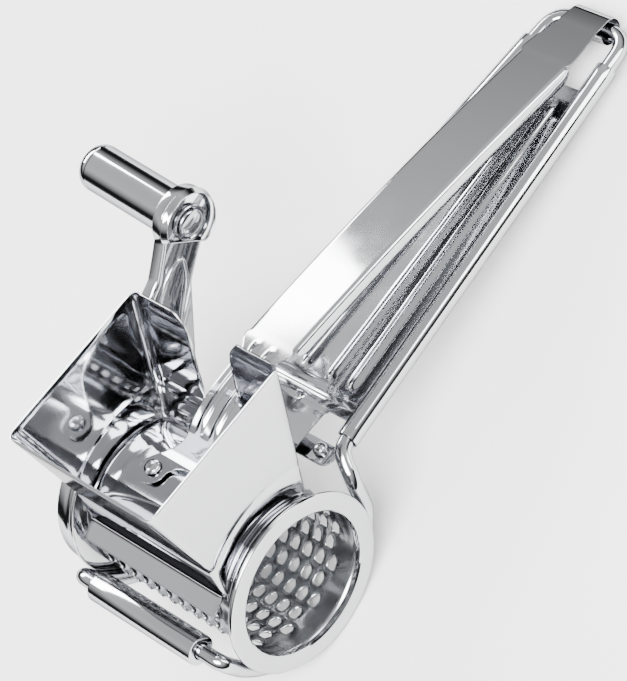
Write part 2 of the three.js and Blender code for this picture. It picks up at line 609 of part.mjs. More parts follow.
function crankArm() {
  const outside = toSolid(placeOnCrank(alongY(crankOutline(0), HUB_Y, HUB_Y + CRANK_DEPTH, 12)));
  const hollow = placeOnCrank(alongY(crankOutline(CRANK_SHEET), HUB_Y + CRANK_SHEET, HUB_Y + CRANK_DEPTH + 1, 12));
  const pinHole = turned(rodProfile(PIN_R + GAP, HUB_Y - 1, HUB_Y + CRANK_DEPTH + 1), at(crankTip.x, 0, crankTip.z), alongAxis, 24);
  return cut(outside, hollow, pinHole, ...hubHoles());
}

// ---- crank grip ------------------------------------------------------------------------------
const gripStart = HUB_Y + CRANK_DEPTH + 1.6;
const gripEnd = gripStart + GRIP_LENGTH;
const gripDirection = crankDirection.clone().multiplyScalar(Math.sin(rad(GRIP_SPLAY)));
gripDirection.y = Math.cos(rad(GRIP_SPLAY));
const gripOrigin = at(crankTip.x, HUB_Y, crankTip.z).addScaledVector(gripDirection, -HUB_Y);
const gripTurned = (profile) => turned(profile, gripOrigin, gripDirection, 32);

function gripPinProfile() {
  const head = 4.2;
  const inside = HUB_Y - GAP - head * Math.sin(rad(GRIP_SPLAY));
  return [[0, inside - 1.6], [head * 0.6, inside - 1.5], [head, inside - 0.7], [head, inside], [PIN_R, inside],
    [PIN_R, gripEnd - 9], [0, gripEnd - 9]];
}

function endCapProfile() {
  const start = gripEnd - 5;
  const skirt = GRIP_R - GRIP_WALL - GAP;
  const dome = Array.from({ length: 6 }, (_, i) => {
    const angle = (i * Math.PI) / 10;
    return [GRIP_R * Math.cos(angle), start + 0.8 + 4.2 * Math.sin(angle)];
  });
  dome[dome.length - 1][0] = 0;
  return [[0, start - 2], [skirt, start - 2], [skirt, start], [GRIP_R, start], ...dome];
}

// ---- assembly --------------------------------------------------------------------------------
add('hopper_shell', toGeometry(hopperShell()));
add('wire_frame', roundRod(wireFramePath(), WIRE_R, 180, 10), wireSteel);
add('grip_plate', toGeometry(gripPlate()));
add('back_brace', toGeometry(backBrace()), satin);
const screwBottom = braceTop() - BRACE_SHEET - wireZ(BRACE_SCREW_X);
add('brace_screw', turned(rivetProfile(RIVET_HEAD_R, RIVET_R, SHEET / 2, screwBottom),
  at(BRACE_SCREW_X, 0, wireZ(BRACE_SCREW_X)), at(0, 0, 1), RIVET_SIDES));
braceRivetPlaces.forEach((place, i) => {
  const profile = rivetProfile(RIVET_HEAD_R - 0.3, RIVET_R, 0, -BRACE_SHEET, 1.9);
  add(`brace_rivet_${i ? 'far' : 'near'}`, turned(profile, place, at(0, 0, 1), RIVET_SIDES));
});
for (const [side, label] of [[-1, 'near'], [1, 'far']]) {
  const place = at(TONGUE_RIVET_X, side * TONGUE_RIVET_Y, wireZ(TONGUE_RIVET_X));
  const profile = rivetProfile(RIVET_HEAD_R, RIVET_R, 1.8, -0.6);
  add(`tongue_rivet_${label}`, turned(profile, place, at(0, 0, 1), RIVET_SIDES));
}
add('front_sleeve', turned(tubeProfile(WIRE_R + GAP, SLEEVE_R, -SLEEVE_LENGTH / 2, SLEEVE_LENGTH / 2),
  at(SLEEVE_X, 0, SLEEVE_Z), alongAxis), satin);

add('pusher_lever', toGeometry(pusherLever()));
add('pusher_plate', toGeometry(pusherPlate()));
for (const [side, label] of [[-1, 'near'], [1, 'far']]) {
  const profile = rivetProfile(RIVET_HEAD_R, RIVET_R, VAULT_TOP + GAP + LEVER_SHEET, VAULT_R, 1.2, 0.4);
  add(`pusher_rivet_${label}`, turned(profile, at(AXIS.x, side * EAR_OFFSET, AXIS.z), at(0, 0, 1), RIVET_SIDES));
}

add('drum_barrel', toGeometry(drumBarrel()), satin);
add('drum_rim_near', drumRim(-1));
add('drum_rim_far', drumRim(1));
add('drum_end_plate', toGeometry(drumEndPlate()));
add('crank_arm', toGeometry(crankArm()));
hubRivetPlaces.forEach((p, i) => {
  const profile = rivetProfile(RIVET_HEAD_R, RIVET_R, HUB_Y + CRANK_SHEET, RIM_Y + RIM_THICK + GAP);
  add(`hub_rivet_${i + 1}`, turned(profile, at(p.x, 0, p.z), alongAxis, RIVET_SIDES));
});
add('grip_pin', gripTurned(gripPinProfile()), satin);
add('grip_washer', gripTurned(tubeProfile(PIN_R + GAP, GRIP_R - 1, gripStart - 1.3, gripStart - 0.4)), satin);
add('grip_tube', gripTurned(tubeProfile(GRIP_R - GRIP_WALL, GRIP_R, gripStart, gripEnd - 5 - GAP)));
const bushStarts = { near: gripStart + 0.4, far: gripEnd - 9 - BUSH_LENGTH - 1 };
for (const [label, start] of Object.entries(bushStarts)) {
  add(`grip_bush_${label}`, gripTurned(tubeProfile(PIN_R + GAP, GRIP_R - GRIP_WALL - GAP, start, start + BUSH_LENGTH)), satin);
}
add('grip_end_cap', gripTurned(endCapProfile()));

// Stand the grater on its two cradles and its hinge curl, with the origin under the middle of its box.
const reach = Math.hypot(HINGE_X - AXIS.x, HINGE_Z - AXIS.z);
const rise = Math.atan2(HINGE_Z - AXIS.z, HINGE_X - AXIS.x);
tilted.rotation.y = rise + Math.asin((CRADLE_R + WIRE_R - curlOuter) / reach);
tilted.updateMatrixWorld(true);
const box = new THREE.Box3().setFromObject(tilted, true);
tilted.position.set(-(box.min.x + box.max.x) / 2, -(box.min.y + box.max.y) / 2, -box.min.z);

export default part;
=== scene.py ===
"""A hand-cranked drum grater in polished stainless steel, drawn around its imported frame."""

import json
import math

import bmesh
import bpy
from bpy.props import FloatProperty, FloatVectorProperty, IntProperty, PointerProperty, StringProperty
from mathutils import Matrix, Vector


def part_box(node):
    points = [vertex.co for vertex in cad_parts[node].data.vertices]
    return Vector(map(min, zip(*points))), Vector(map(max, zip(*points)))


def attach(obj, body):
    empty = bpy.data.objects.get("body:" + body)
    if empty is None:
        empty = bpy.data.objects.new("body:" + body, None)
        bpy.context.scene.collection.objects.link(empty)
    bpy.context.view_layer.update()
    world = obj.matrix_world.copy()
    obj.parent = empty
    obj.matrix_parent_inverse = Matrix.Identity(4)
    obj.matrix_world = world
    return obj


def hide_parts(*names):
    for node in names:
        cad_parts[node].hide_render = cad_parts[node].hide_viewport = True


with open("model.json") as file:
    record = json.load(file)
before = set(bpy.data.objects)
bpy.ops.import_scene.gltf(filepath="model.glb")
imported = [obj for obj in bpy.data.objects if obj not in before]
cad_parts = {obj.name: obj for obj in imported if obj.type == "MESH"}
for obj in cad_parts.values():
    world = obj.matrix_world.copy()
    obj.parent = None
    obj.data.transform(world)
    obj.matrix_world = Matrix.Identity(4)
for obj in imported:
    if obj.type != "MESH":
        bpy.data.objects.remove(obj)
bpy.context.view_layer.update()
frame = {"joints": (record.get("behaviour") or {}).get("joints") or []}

bl_info = {
    "name": "Rotary Grater",
    "version": (1, 0, 0),
    "blender": (4, 5, 0),
    "location": "3D View > Sidebar > Grater",
    "description": "Builds the looks of a hand-cranked rotary cheese grater around its frame",
    "category": "Add Mesh",
}

# ---- the frame's own places ------------------------------------------------------------------
MM = 0.001
JOINTS = {joint["name"]: Vector(joint["pos_m"]) for joint in frame["joints"]}
DRUM_AXIS = JOINTS["drum_spin"]
HINGE = JOINTS["pusher_hinge"]
SLEEVE = JOINTS["front_sleeve_spin"]
TIP = JOINTS["crank_grip_spin"]
HINGE_RISE = math.atan2(15.8, 178.9)  # hinge above the drum's axis, while the hopper's rim is level
GRIP_AXIS = Vector(next(joint["axis"] for joint in frame["joints"] if joint["name"] == "crank_grip_spin"))

TILT = HINGE_RISE - math.atan2(HINGE.z - DRUM_AXIS.z, HINGE.x - DRUM_AXIS.x)
TO_WORLD = Matrix.Translation(DRUM_AXIS) @ Matrix.Rotation(TILT, 4, "Y") @ Matrix.Scale(MM, 4)
TO_LAYOUT = TO_WORLD.inverted()


def layout(point):
    """A point of the frame, in metres, as millimetres from the drum's axis with the rim level."""
    return TO_LAYOUT @ Vector(point)


def radius_of(node):
    """Half the height of a round node, in millimetres."""
    low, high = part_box(node)
    return (high.z - low.z) / 2 / MM


def span_y(node):
    """Where a node starts and ends along the drum's axis, in millimetres from the mid plane."""
    low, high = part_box(node)
    return (low.y - DRUM_AXIS.y) / MM, (high.y - DRUM_AXIS.y) / MM


BARREL_R = radius_of("drum_barrel")
RIM_R = radius_of("drum_rim_near")
BARREL_END = span_y("drum_barrel")[1]
RIM_IN, RIM_OUT = span_y("drum_rim_far")
PLATE_IN, PLATE_OUT = span_y("drum_end_plate")
CRANK_IN, CRANK_OUT = span_y("crank_arm")
GRIP_R = 7.0
GRIP_START = 5.8  # heights along the grip's axis, from the arm's tip
GRIP_END = GRIP_START + 36
HINGE_AT = layout(HINGE)
SLEEVE_AT = layout(SLEEVE)
TIP_AT = layout(TIP)
CRANK_ANGLE = math.atan2(TIP_AT.z, TIP_AT.x)
GRIP_TURN = Vector((0, 1, 0)).rotation_difference(TO_LAYOUT.to_3x3() @ GRIP_AXIS).to_matrix().to_4x4()
ALONG_CRANK = Matrix.Rotation(-CRANK_ANGLE, 4, "Y")
CRANK_LENGTH = math.hypot(TIP_AT.x, TIP_AT.z)
SLEEVE_R = radius_of("front_sleeve")
SLEEVE_END = span_y("front_sleeve")[1]
PUSHER_END = span_y("pusher_plate")[1]


# ---- settings --------------------------------------------------------------------------------
def length(name, text, default_mm):
    return FloatProperty(name=name, description=text, default=default_mm * MM, unit="LENGTH", precision=5)


def colour(name, what, default):
    return StringProperty(name=name, description=f"sRGB colour of {what}", default=default)


class GraterSizes(bpy.types.PropertyGroup):
    """Sizes of the sheet, the wire and the pressed details."""

    sheet: length("Sheet", "Thickness of the hopper's and the grip plate's sheet", 0.8)
    lever_sheet: length("Lever sheet", "Thickness of the squeeze lever's sheet", 1.0)
    barrel_sheet: length("Barrel sheet", "Thickness of the drum's perforated sheet", 0.6)
    crank_sheet: length("Crank sheet", "Thickness of the crank arm's sheet", 1.1)
    wire: length("Wire", "Diameter of the frame wire", 4.6)
    hopper_width: length("Hopper width", "Over the side plates", 56.8)
    rim_length: length("Rim length", "Hopper rim from front to back", 52.6)
    rim_height: length("Rim height", "Hopper rim above the drum's axis", 59.2)
    rim_front: length("Rim front", "Hopper rim in front of the drum's axis", 21.7)
    collar: length("Collar", "Radius of the side plates' arcs round the drum", 23.8)
    front_lean: length("Front lean", "How far the front wall leans in above its fold", 4.6)
    front_fold: length("Front fold", "Where the front wall turns out again, below the rim", 33.1884)
    notch_depth: length("Notch depth", "How far the lever's notch goes down", 28)
    bead_height: length("Bead height", "How far a pressed bead stands up", 0.9)
    tooth_height: length("Tooth height", "How far a grating tooth stands out", 0.75)
    hole_rows: IntProperty(name="Hole rows", description="Rows of holes round the drum", default=24, min=4)
    holes_per_row: IntProperty(name="Holes per row", description="Holes along the drum", default=10, min=1)


class GraterFinish(bpy.types.PropertyGroup):
    """Colours of the metal and the floor, and the camera's lens and place."""

    polished: colour("Polished steel", "bright polished sheet", "#C8C9CC")
    satin: colour("Satin steel", "the drum's duller steel", "#B7B8BB")
    wire: colour("Wire", "the drawn wire", "#C2C3C6")
    floor: colour("Floor", "the studio floor", "#FDFDFC")
    lens: FloatProperty(name="Lens", description="Camera lens", default=166.9, unit="CAMERA")
    eye: FloatVectorProperty(
        name="Eye", description="Camera place from the drum's axis, rim level",
        default=(-0.1490, -0.4891, 0.6037), subtype="TRANSLATION", precision=4,
    )


def sizes():
    """The sizes in millimetres, as an object with the same names."""
    group = bpy.context.scene.grater_sizes

    class Millimetres:
        hole_rows = group.hole_rows
        holes_per_row = group.holes_per_row

    for key in GraterSizes.__annotations__:
        if not key.startswith("hole"):
            setattr(Millimetres, key, getattr(group, key) / MM)
    return Millimetres


# ---- materials -------------------------------------------------------------------------------
def linear(hex_colour):
    """An sRGB hex colour as linear RGBA."""
    parts = [int(hex_colour[i:i + 2], 16) / 255 for i in (1, 3, 5)]
    return [c / 12.92 if c <= 0.04045 else ((c + 0.055) / 1.055) ** 2.4 for c in parts] + [1.0]


def node(tree, kind, settings=None, links=None):
    """Adds a node, sets its properties or input values, and links inputs to other nodes' outputs."""
    made = tree.nodes.new(kind)
    for key, value in (settings or {}).items():
        if isinstance(key, str) and hasattr(made, key):
            setattr(made, key, value)
        else:
            made.inputs[key].default_value = value
    for key, output in (links or {}).items():
        tree.links.new(output, made.inputs[key])
    return made


def new_material(name):
    """The material of that name if there is one, or a new metal with its tree and shader to fill in."""
    found = bpy.data.materials.get(name)
    if found:
        return found, None, None
    material = bpy.data.materials.new(name)
    material.use_nodes = True
    tree = material.node_tree
    tree.nodes.clear()
    edge = (0.22, 0.22, 0.24, 1.0)  # a dull grazing reflection, which gives bends and wires a darker outline
    shader = node(tree, "ShaderNodeBsdfPrincipled", {"Metallic": 1.0, "Specular Tint": edge})
    output = node(tree, "ShaderNodeOutputMaterial", links={"Surface": shader.outputs["BSDF"]})
    output.location = (300, 0)
    return material, tree, shader


def handled_steel(name, steel, roughness, smudge, scratch, depth):
    """Steel with faint handling smudges in its gloss and fine rubbed scratches, in millimetres."""
    material, tree, shader = new_material(name)
    if not tree:
        return material
    place = node(tree, "ShaderNodeTexCoord")
    patches = {"Scale": 1 / (smudge * MM), "Detail": 5.0, "Roughness": 0.6}
    smears = node(tree, "ShaderNodeTexNoise", patches, {"Vector": place.outputs["Object"]})
    clean, smeared = roughness * 0.75, roughness * 1.7
    limits = {"From Min": 0.3, "From Max": 0.75, "To Min": clean, "To Max": smeared}
    gloss = node(tree, "ShaderNodeMapRange", limits, {"Value": smears.outputs["Fac"]})
    rubbed = node(tree, "ShaderNodeMapping", {"Scale": (1.0, 9.0, 9.0), "Rotation": (0.3, 0.5, 0.2)},
                  {"Vector": place.outputs["Object"]})
    scratches = node(tree, "ShaderNodeTexNoise", {"Scale": 1 / (scratch * MM), "Detail": 3.0},
                     {"Vector": rubbed.outputs["Vector"]})
    bump = node(tree, "ShaderNodeBump", {"Strength": 0.1, "Distance": depth * MM},
                {"Height": scratches.outputs["Fac"]})
    bright = linear(steel)
    dull = [c * 0.93 for c in bright[:3]] + [1]
    tint = node(tree, "ShaderNodeMixRGB", {1: bright, 2: dull}, {0: smears.outputs["Fac"]})
    tree.links.new(tint.outputs["Color"], shader.inputs["Base Color"])
    tree.links.new(gloss.outputs["Result"], shader.inputs["Roughness"])
    tree.links.new(bump.outputs["Normal"], shader.inputs["Normal"])
    return material


def polished_stainless_sheet():
    """Mirror-polished 18/8 stainless sheet: sharp reflections, slightly broken by pressing and handling."""
    steel = bpy.context.scene.grater_finish.polished
    return handled_steel("polished_stainless_sheet", steel, 0.06, smudge=14, scratch=2.2, depth=0.004)


def satin_stainless_sheet():
    """Tumbled stainless of the drum and small turned parts: soft, greyer reflections."""
    steel = bpy.context.scene.grater_finish.satin
    return handled_steel("satin_stainless_sheet", steel, 0.15, smudge=9, scratch=1.6, depth=0.006)


def drawn_stainless_wire():
    """Bright drawn wire: smooth, with faint lines from the drawing die."""
    steel = bpy.context.scene.grater_finish.wire
    return handled_steel("drawn_stainless_wire", steel, 0.08, smudge=6, scratch=1.2, depth=0.004)


def studio_paper():
    """Matt white background paper with a faint tooth."""
    material, tree, shader = new_material("studio_paper")
    if tree:
        shader.inputs["Metallic"].default_value = 0.0
        shader.inputs["Specular Tint"].default_value = (1.0, 1.0, 1.0, 1.0)
        shader.inputs["Base Color"].default_value = linear(bpy.context.scene.grater_finish.floor)
        shader.inputs["Roughness"].default_value = 0.8
        place = node(tree, "ShaderNodeTexCoord")
        tooth = node(tree, "ShaderNodeTexNoise", {"Scale": 1 / (3 * MM)}, {"Vector": place.outputs["Object"]})
        depth = {"Strength": 0.1, "Distance": 0.1 * MM}
        bump = node(tree, "ShaderNodeBump", depth, {"Height": tooth.outputs["Fac"]})
        tree.links.new(bump.outputs["Normal"], shader.inputs["Normal"])
    return material


LOOKS = {
    "polished_steel": polished_stainless_sheet,
    "satin_steel": satin_stainless_sheet,
    "wire_steel": drawn_stainless_wire,
}


# ---- mesh helpers ----------------------------------------------------------------------------
def add(name, data):
    made = bpy.data.objects.new(name, data)
    bpy.context.scene.collection.objects.link(made)
    return made


def piece(name, mesh, body, replaced=(), slot="polished_steel", sharp=35, looks=None):
    """Turns a bmesh in layout millimetres into an object in the frame that rides on a body."""
    bmesh.ops.remove_doubles(mesh, verts=mesh.verts, dist=1e-4)
    bmesh.ops.recalc_face_normals(mesh, faces=mesh.faces)
    mesh.transform(TO_WORLD)
    data = bpy.data.meshes.new(name)
    mesh.to_mesh(data)
    mesh.free()
    for face in data.polygons:
        face.use_smooth = True
    data.set_sharp_from_angle(angle=math.radians(sharp))
    data.materials.append(looks() if looks else LOOKS[slot]())
    made = add(name, data)
    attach(made, body)
    if replaced:
        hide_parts(*replaced)
    return made


def thicken(made, thickness, edge=0.14):
    """Gives a sheet its thickness in millimetres, and a small round to its cut edges."""
    solid = made.modifiers.new("thickness", "SOLIDIFY")
    solid.thickness = thickness * MM
    solid.offset = 0
    solid.use_even_offset = True
    solid.thickness_clamp = 2.0
    if edge:
        soften = made.modifiers.new("cut_edge", "BEVEL")
        soften.width = edge * MM
        soften.segments = 2
        soften.limit_method = "ANGLE"
        soften.angle_limit = math.radians(50)
    return made


def turned(mesh, profile, centre, segments=96):
    """Turns a profile of (radius, y) points round an axis along Y. Radius 0 closes on the axis."""
    rings = []
    for radius, y in profile:
        if radius < 1e-6:
            rings.append([mesh.verts.new((centre[0], y, centre[1]))])
            continue
        ring = []
        for i in range(segments):
            angle = 2 * math.pi * i / segments
            x, z = centre[0] + radius * math.cos(angle), centre[1] + radius * math.sin(angle)
            ring.append(mesh.verts.new((x, y, z)))
        rings.append(ring)
    for first, second in zip(rings, rings[1:]):
        for i in range(segments):
            j = (i + 1) % segments
            ends = len(first), len(second)
            corners = [first[i % ends[0]], first[j % ends[0]], second[j % ends[1]], second[i % ends[1]]]
            unique = list(dict.fromkeys(corners))
            if len(unique) > 2:
                mesh.faces.new(unique)
    return mesh


def closed(profile):
    return [*profile, profile[0]]


def rounded(points, radius, steps=4):
    """The same outline with each corner cut by a short curve; the ends stay."""
    out = [Vector(points[0])]
    for before, corner, after in zip(points, points[1:], points[2:]):
        before, corner, after = Vector(before), Vector(corner), Vector(after)
        reach = min(radius, (corner - before).length * 0.49, (after - corner).length * 0.49)
        start = corner + (before - corner).normalized() * reach
        end = corner + (after - corner).normalized() * reach
        for i in range(steps + 1):
            t = i / steps
            out.append(start.lerp(corner, t).lerp(corner.lerp(end, t), t))
    out.append(Vector(points[-1]))
    return out


def spaced(points, step):
    """Points along a line, no further apart than step."""
    out = [Vector(points[0])]
    for start, end in zip(points, points[1:]):
        start, end = Vector(start), Vector(end)
        count = max(1, math.ceil((end - start).length / step))
        out += [start.lerp(end, (i + 1) / count) for i in range(count)]
    return out


def tube(mesh, points, radius, sides=20):
    """A round rod along a line, with flat ends."""
    points = [p for i, p in enumerate(points) if i == 0 or (p - points[i - 1]).length > 1e-5]
    tangents = []
    for i, p in enumerate(points):
        before = points[max(i - 1, 0)]
        after = points[min(i + 1, len(points) - 1)]
        tangents.append((after - before).normalized())
    normal = tangents[0].orthogonal().normalized()
    rings = []
    for i, p in enumerate(points):
        if i:
            turn = tangents[i - 1].rotation_difference(tangents[i])
            normal = (turn @ normal).normalized()
        side = tangents[i].cross(normal)
        ring = []
        for k in range(sides):
            angle = 2 * math.pi * k / sides
            ring.append(mesh.verts.new(p + radius * (math.cos(angle) * normal + math.sin(angle) * side)))
        rings.append(ring)
    for first, second in zip(rings, rings[1:]):
        bridge(mesh, first, second)
    mesh.faces.new(rings[0])
    mesh.faces.new(rings[-1])
    return mesh


def bridge(mesh, first, second):
    """Faces between two closed rings with as many points."""
    count = len(first)
    for k in range(count):
        m = (k + 1) % count
        mesh.faces.new((first[k], first[m], second[m], second[k]))


def grid(mesh, rows):
    """A sheet through rows of points."""
    made = [[mesh.verts.new(p) for p in row] for row in rows]
    for first, second in zip(made, made[1:]):
        for i in range(len(first) - 1):
            mesh.faces.new((first[i], first[i + 1], second[i + 1], second[i]))
    return mesh


def smooth_step(value, start, end):
    t = min(max((value - start) / (end - start), 0.0), 1.0)
    return t * t * (3 - 2 * t)


def rivet_profile(head_r, shank_r, top, bottom, dome=1.3, foot=0.6, gap=0.02):
    """A rivet along Y: domed head above top, flat head below bottom."""
    above, below, crown = top + gap, bottom - gap, top + gap + 0.25
    foot_r = head_r * 0.85
    turns = [math.pi / 2 * i / 8 for i in range(8)]
    head = [(head_r * math.cos(a), crown + dome * math.sin(a)) for a in turns]
    tail = [(0, below - foot), (head_r * 0.78, below - foot), (foot_r, below - foot * 0.7), (foot_r, below)]
    return [*tail, (shank_r, below), (shank_r, above), (head_r, above), *head, (0, crown + dome)]


def upright(mesh, profile, place, direction):
    """A turned profile stood up at a place, its Y axis laid along a direction."""
    part = bmesh.new()
    turned(part, profile, (0, 0), 40)
    turn = Vector((0, 1, 0)).rotation_difference(Vector(direction)).to_matrix().to_4x4()
    part.transform(Matrix.Translation(Vector(place)) @ turn)
    data = bpy.data.meshes.new("part")
    part.to_mesh(data)
    part.free()
    mesh.from_mesh(data)
    bpy.data.meshes.remove(data)
    return mesh


# ---- the layout's lines: millimetres from the drum's axis, with the rim level ----------------
NECK = Vector((33.9, 22.6, 11.5))  # where a frame wire leaves the grip plate: x, half width, z
LOOP_HALF = 13.2
CRADLE_FROM, CRADLE_TO = 194, 352  # degrees of a cradle's arc round the drum
CRADLE_FLARE = 3.8  # how far it opens towards its ends
BACK_ANGLE = math.radians(42.5)
FRONT_ANGLE = math.radians(140)
ARM_HALF = 6.2
EAR_OFFSET = 12.0
EAR_R = 4.6
EAR_X = -0.2
EAR_ARCH = 4.0  # how far up the foot the arch between the ears goes
LEVER_HALF = 9.1
LEVER_FAR_HALF = 6.7
ARM_BACK = 23.03  # the arm's back face, where it goes through the notch
STRIP_LOW_X, STRIP_LOW_Z = 39.9, 35.4  # where the strip turns down into the arm
STRIP_BOW = 2.3
PUSHER_R = 23.6  # inside of the pusher plate
STRIP_START = 43.6  # where the strip's flanges start
STRIP_END = 159.8  # and where they end
FLANGE = 3.7
BRACE_X = 31.5
BRACE_HALF = 20.9
BRACE_RIVET_Y = 15.2
UP = (0, 0, 1)
SIDES = (-1, "near"), (1, "far")
HEAD_R = 2.4  # a rivet's head
SHANK_R = 1.3
PIN_R = 2.4
PIN_HEAD_R = 4.2
BUSH_LENGTH = 4
LIP_OUT = 5.4
LIP_DROP = 3.5
FOOT_Z = 15.3  # height of the front wall's foot above the drum's axis


def on_drum(radius, angle):
    return Vector((radius * math.cos(angle), 0, radius * math.sin(angle)))


def wire_z(x):
    return NECK.z + (HINGE_AT.z - NECK.z) * (x - NECK.x) / (HINGE_AT.x - NECK.x)


def wire_y(x):
    return NECK.y + (LOOP_HALF - NECK.y) * (x - NECK.x) / (HINGE_AT.x - NECK.x)


# ---- hopper ----------------------------------------------------------------------------------
def hopper_mesh(size):
    """Side plates with their collars, front wall with its lip, back wall with its notch and tongue."""
    half = size.hopper_width / 2 - size.sheet / 2
    inset = size.sheet / 2
    top = size.rim_height
    rim_front, rim_back = -size.rim_front + inset, size.rim_length - size.rim_front - inset
    foot_front = on_drum(size.collar, FRONT_ANGLE).x + inset
    foot_back = on_drum(size.collar, BACK_ANGLE).x - inset
    folded_front = rim_front + size.front_lean
    bend = 1.8  # radius of the upright folds
    crease = size.front_fold / (top - FOOT_Z)  # as a share of the way down
    levels = [i / 16 for i in range(17)] + [crease - 0.02, crease, crease + 0.02]
    levels.sort()
    mesh = bmesh.new()

    def front_x(level):
        """X of the front wall: leaning in as far as the crease, then a little out to the lip."""
        if level < crease:
            return rim_front + size.front_lean * level / crease
        return folded_front + (foot_front - folded_front) * (level - crease) / (1 - crease)

    def back_x(level):
        return rim_back + (foot_back - rim_back) * level

    def on_sheet(level, x, foot_x, y):
        """A point of the sheet whose column ends on the round collar."""
        foot = math.sqrt(size.collar ** 2 - foot_x ** 2)
        return Vector((x, y, top + (foot - top) * level))

    def corner(level, wall_x, foot_x, inward, side):
        """The upright fold from a side plate round into the front or back wall."""
        fold = []
        for i in range(6):
            turn = math.pi / 2 * i / 5
            into = inward * bend * (1 - math.sin(turn))
            y = side * (half - bend * (1 - math.cos(turn)))
            fold.append(on_sheet(level, wall_x + into, foot_x + into, y))
        return fold

    for side in (-1, 1):
        rows = []
        for level in levels:
            row = corner(level, front_x(level), foot_front, 1, side)[::-1]
            for i in range(1, 36):
                t = i / 36
                x = front_x(level) + bend + (back_x(level) - front_x(level) - 2 * bend) * t
                foot_x = foot_front + bend + (foot_back - foot_front - 2 * bend) * t
                row.append(on_sheet(level, x, foot_x, side * half))
            rows.append(row + corner(level, back_x(level), foot_back, -1, side))
        grid(mesh, rows)
        collar = []
        for out, lift in ((0, 0), (0.35, 0.12), (0.8, 0.5), (1.5, 0.5)):
            angles = [FRONT_ANGLE - 0.03 + (BACK_ANGLE - FRONT_ANGLE + 0.06) * i / 36 for i in range(37)]
            ring = [on_drum(size.collar + lift, angle) for angle in angles]
            collar.append([Vector((p.x, side * (half + out), p.z)) for p in ring])
        grid(mesh, collar)
    across = [(half - bend) * (i / 15 - 1) for i in range(31)]
    grid(mesh, [[on_sheet(level, front_x(level), foot_front, y) for y in across] for level in levels])
    foot = on_sheet(1, foot_front, foot_front, 0)
    steps = (0, 0, 0), (-0.3, 0, -0.7), (-1.0, 0, -1.2), (-LIP_OUT, 0, -LIP_DROP)
    lip = [foot + Vector(step) for step in steps]
    grid(mesh, [[Vector((p.x, y, p.z)) for y in across] for p in spaced(lip, 1)])
    back_foot = on_sheet(1, foot_back, foot_back, 0)
    notch = size.notch_depth / (top - back_foot.z)
    back_levels = sorted({*levels, notch, notch * 0.99, notch * 0.97, notch * 0.93, 0.02, 0.05, 0.09, 0.13})

    def notch_half(level):
        deep = level * (top - back_foot.z)
        flare = 4.2 * max(0.0, 1 - deep / 6.5) ** 1.6
        curve = 1.6 * max(0.0, 1 - (size.notch_depth - deep) / 1.6) ** 2
        return ARM_HALF + 1.0 + 0.8 * max(0.0, 1 - deep / size.notch_depth) + flare - curve

    for side in (-1, 1):
        rows = []
        for level in back_levels:
            inner, outer = notch_half(min(level, notch)), half - bend
            rows.append([on_sheet(level, back_x(level), foot_back, side * (outer + (inner - outer) * i / 14))
                         for i in range(15)])
        grid(mesh, rows)
    inner = notch_half(notch)
    grid(mesh, [[on_sheet(level, back_x(level), foot_back, inner * (i / 4 - 1)) for i in range(9)]
                for level in back_levels if level >= notch])
    flange_z = wire_z(back_foot.x + 12) + 1.1
    tongue = rounded([back_foot, (back_foot.x + 4.5, 0, flange_z), (back_foot.x + 12, 0, flange_z)], 2)
    grid(mesh, [[Vector((p.x, -10.8 + 21.6 * i / 12, p.z)) for i in range(13)] for p in tongue])
    return mesh


# ---- wire frame ------------------------------------------------------------------------------
def wire_line(size):
    """The frame wire's centre line, from inside the front sleeve round the far loop and back."""
    cradle_r = BARREL_R + size.wire / 2 + 0.5
    cradle_y = size.hopper_width / 2 + 0.5

    def half(side):
        bend_in = [Vector((SLEEVE_AT.x, side * y, SLEEVE_AT.z)) for y in (0.3, cradle_y)]
        arc = []
        for i in range(25):
            angle = CRADLE_FROM + (CRADLE_TO - CRADLE_FROM) * i / 24
            opened = max(0, abs(angle - 270) - 30) / 52
            p = on_drum(cradle_r + CRADLE_FLARE * opened ** 2, math.radians(angle))
            arc.append(Vector((p.x, side * cradle_y, p.z)))
        rise = Vector((cradle_r + 4.5, side * cradle_y, NECK.z - 5.8))
        neck = Vector((NECK.x, side * NECK.y, NECK.z))
        return [*bend_in, *arc, rise, neck, Vector((HINGE_AT.x, side * LOOP_HALF, HINGE_AT.z))]

    near, far = half(-1), half(1)
    line = [*near, *reversed(far)]
    bends = {1: 4.5, 2: 3, len(near) - 3: 4.5, len(near) - 2: 3.6, len(near) - 1: 7}
    last = len(line) - 1
    bends.update({last - key: value for key, value in list(bends.items())})
    out = [line[0]]
    for i in range(1, last):
        radius = bends.get(i, 1.5)
        out += rounded([line[i - 1], line[i], line[i + 1]], radius, 8)[1:-1]
    out.append(line[-1])
    return spaced(out, 3)


# ---- grip plate ------------------------------------------------------------------------------
PLATE_LOW = 41.7
PLATE_FAR = 158.3
ROLL_LOW = 37.3
ROLL_FAR = 167.3
BEADS = [(5.0, 2.6), (12.6, 6.6)]  # distance from the mid plane at the low end and at the far end
BEAD_LOW = 51.8
BEAD_FAR = 150.3


def bead_lift(x, y, height):
    """Height of the pressed beads above the plate at a point."""
    lift = 0.0
    for low, far in BEADS:
        t = min(max((x - BEAD_LOW) / (BEAD_FAR - BEAD_LOW), 0), 1)
        middle = low + (far - low) * t
        away = math.hypot(abs(y) - middle, max(BEAD_LOW - x, 0, x - BEAD_FAR))
        lift = max(lift, math.cos(min(away / 1.7, 1) * math.pi / 2) ** 1.3)
    return height * lift


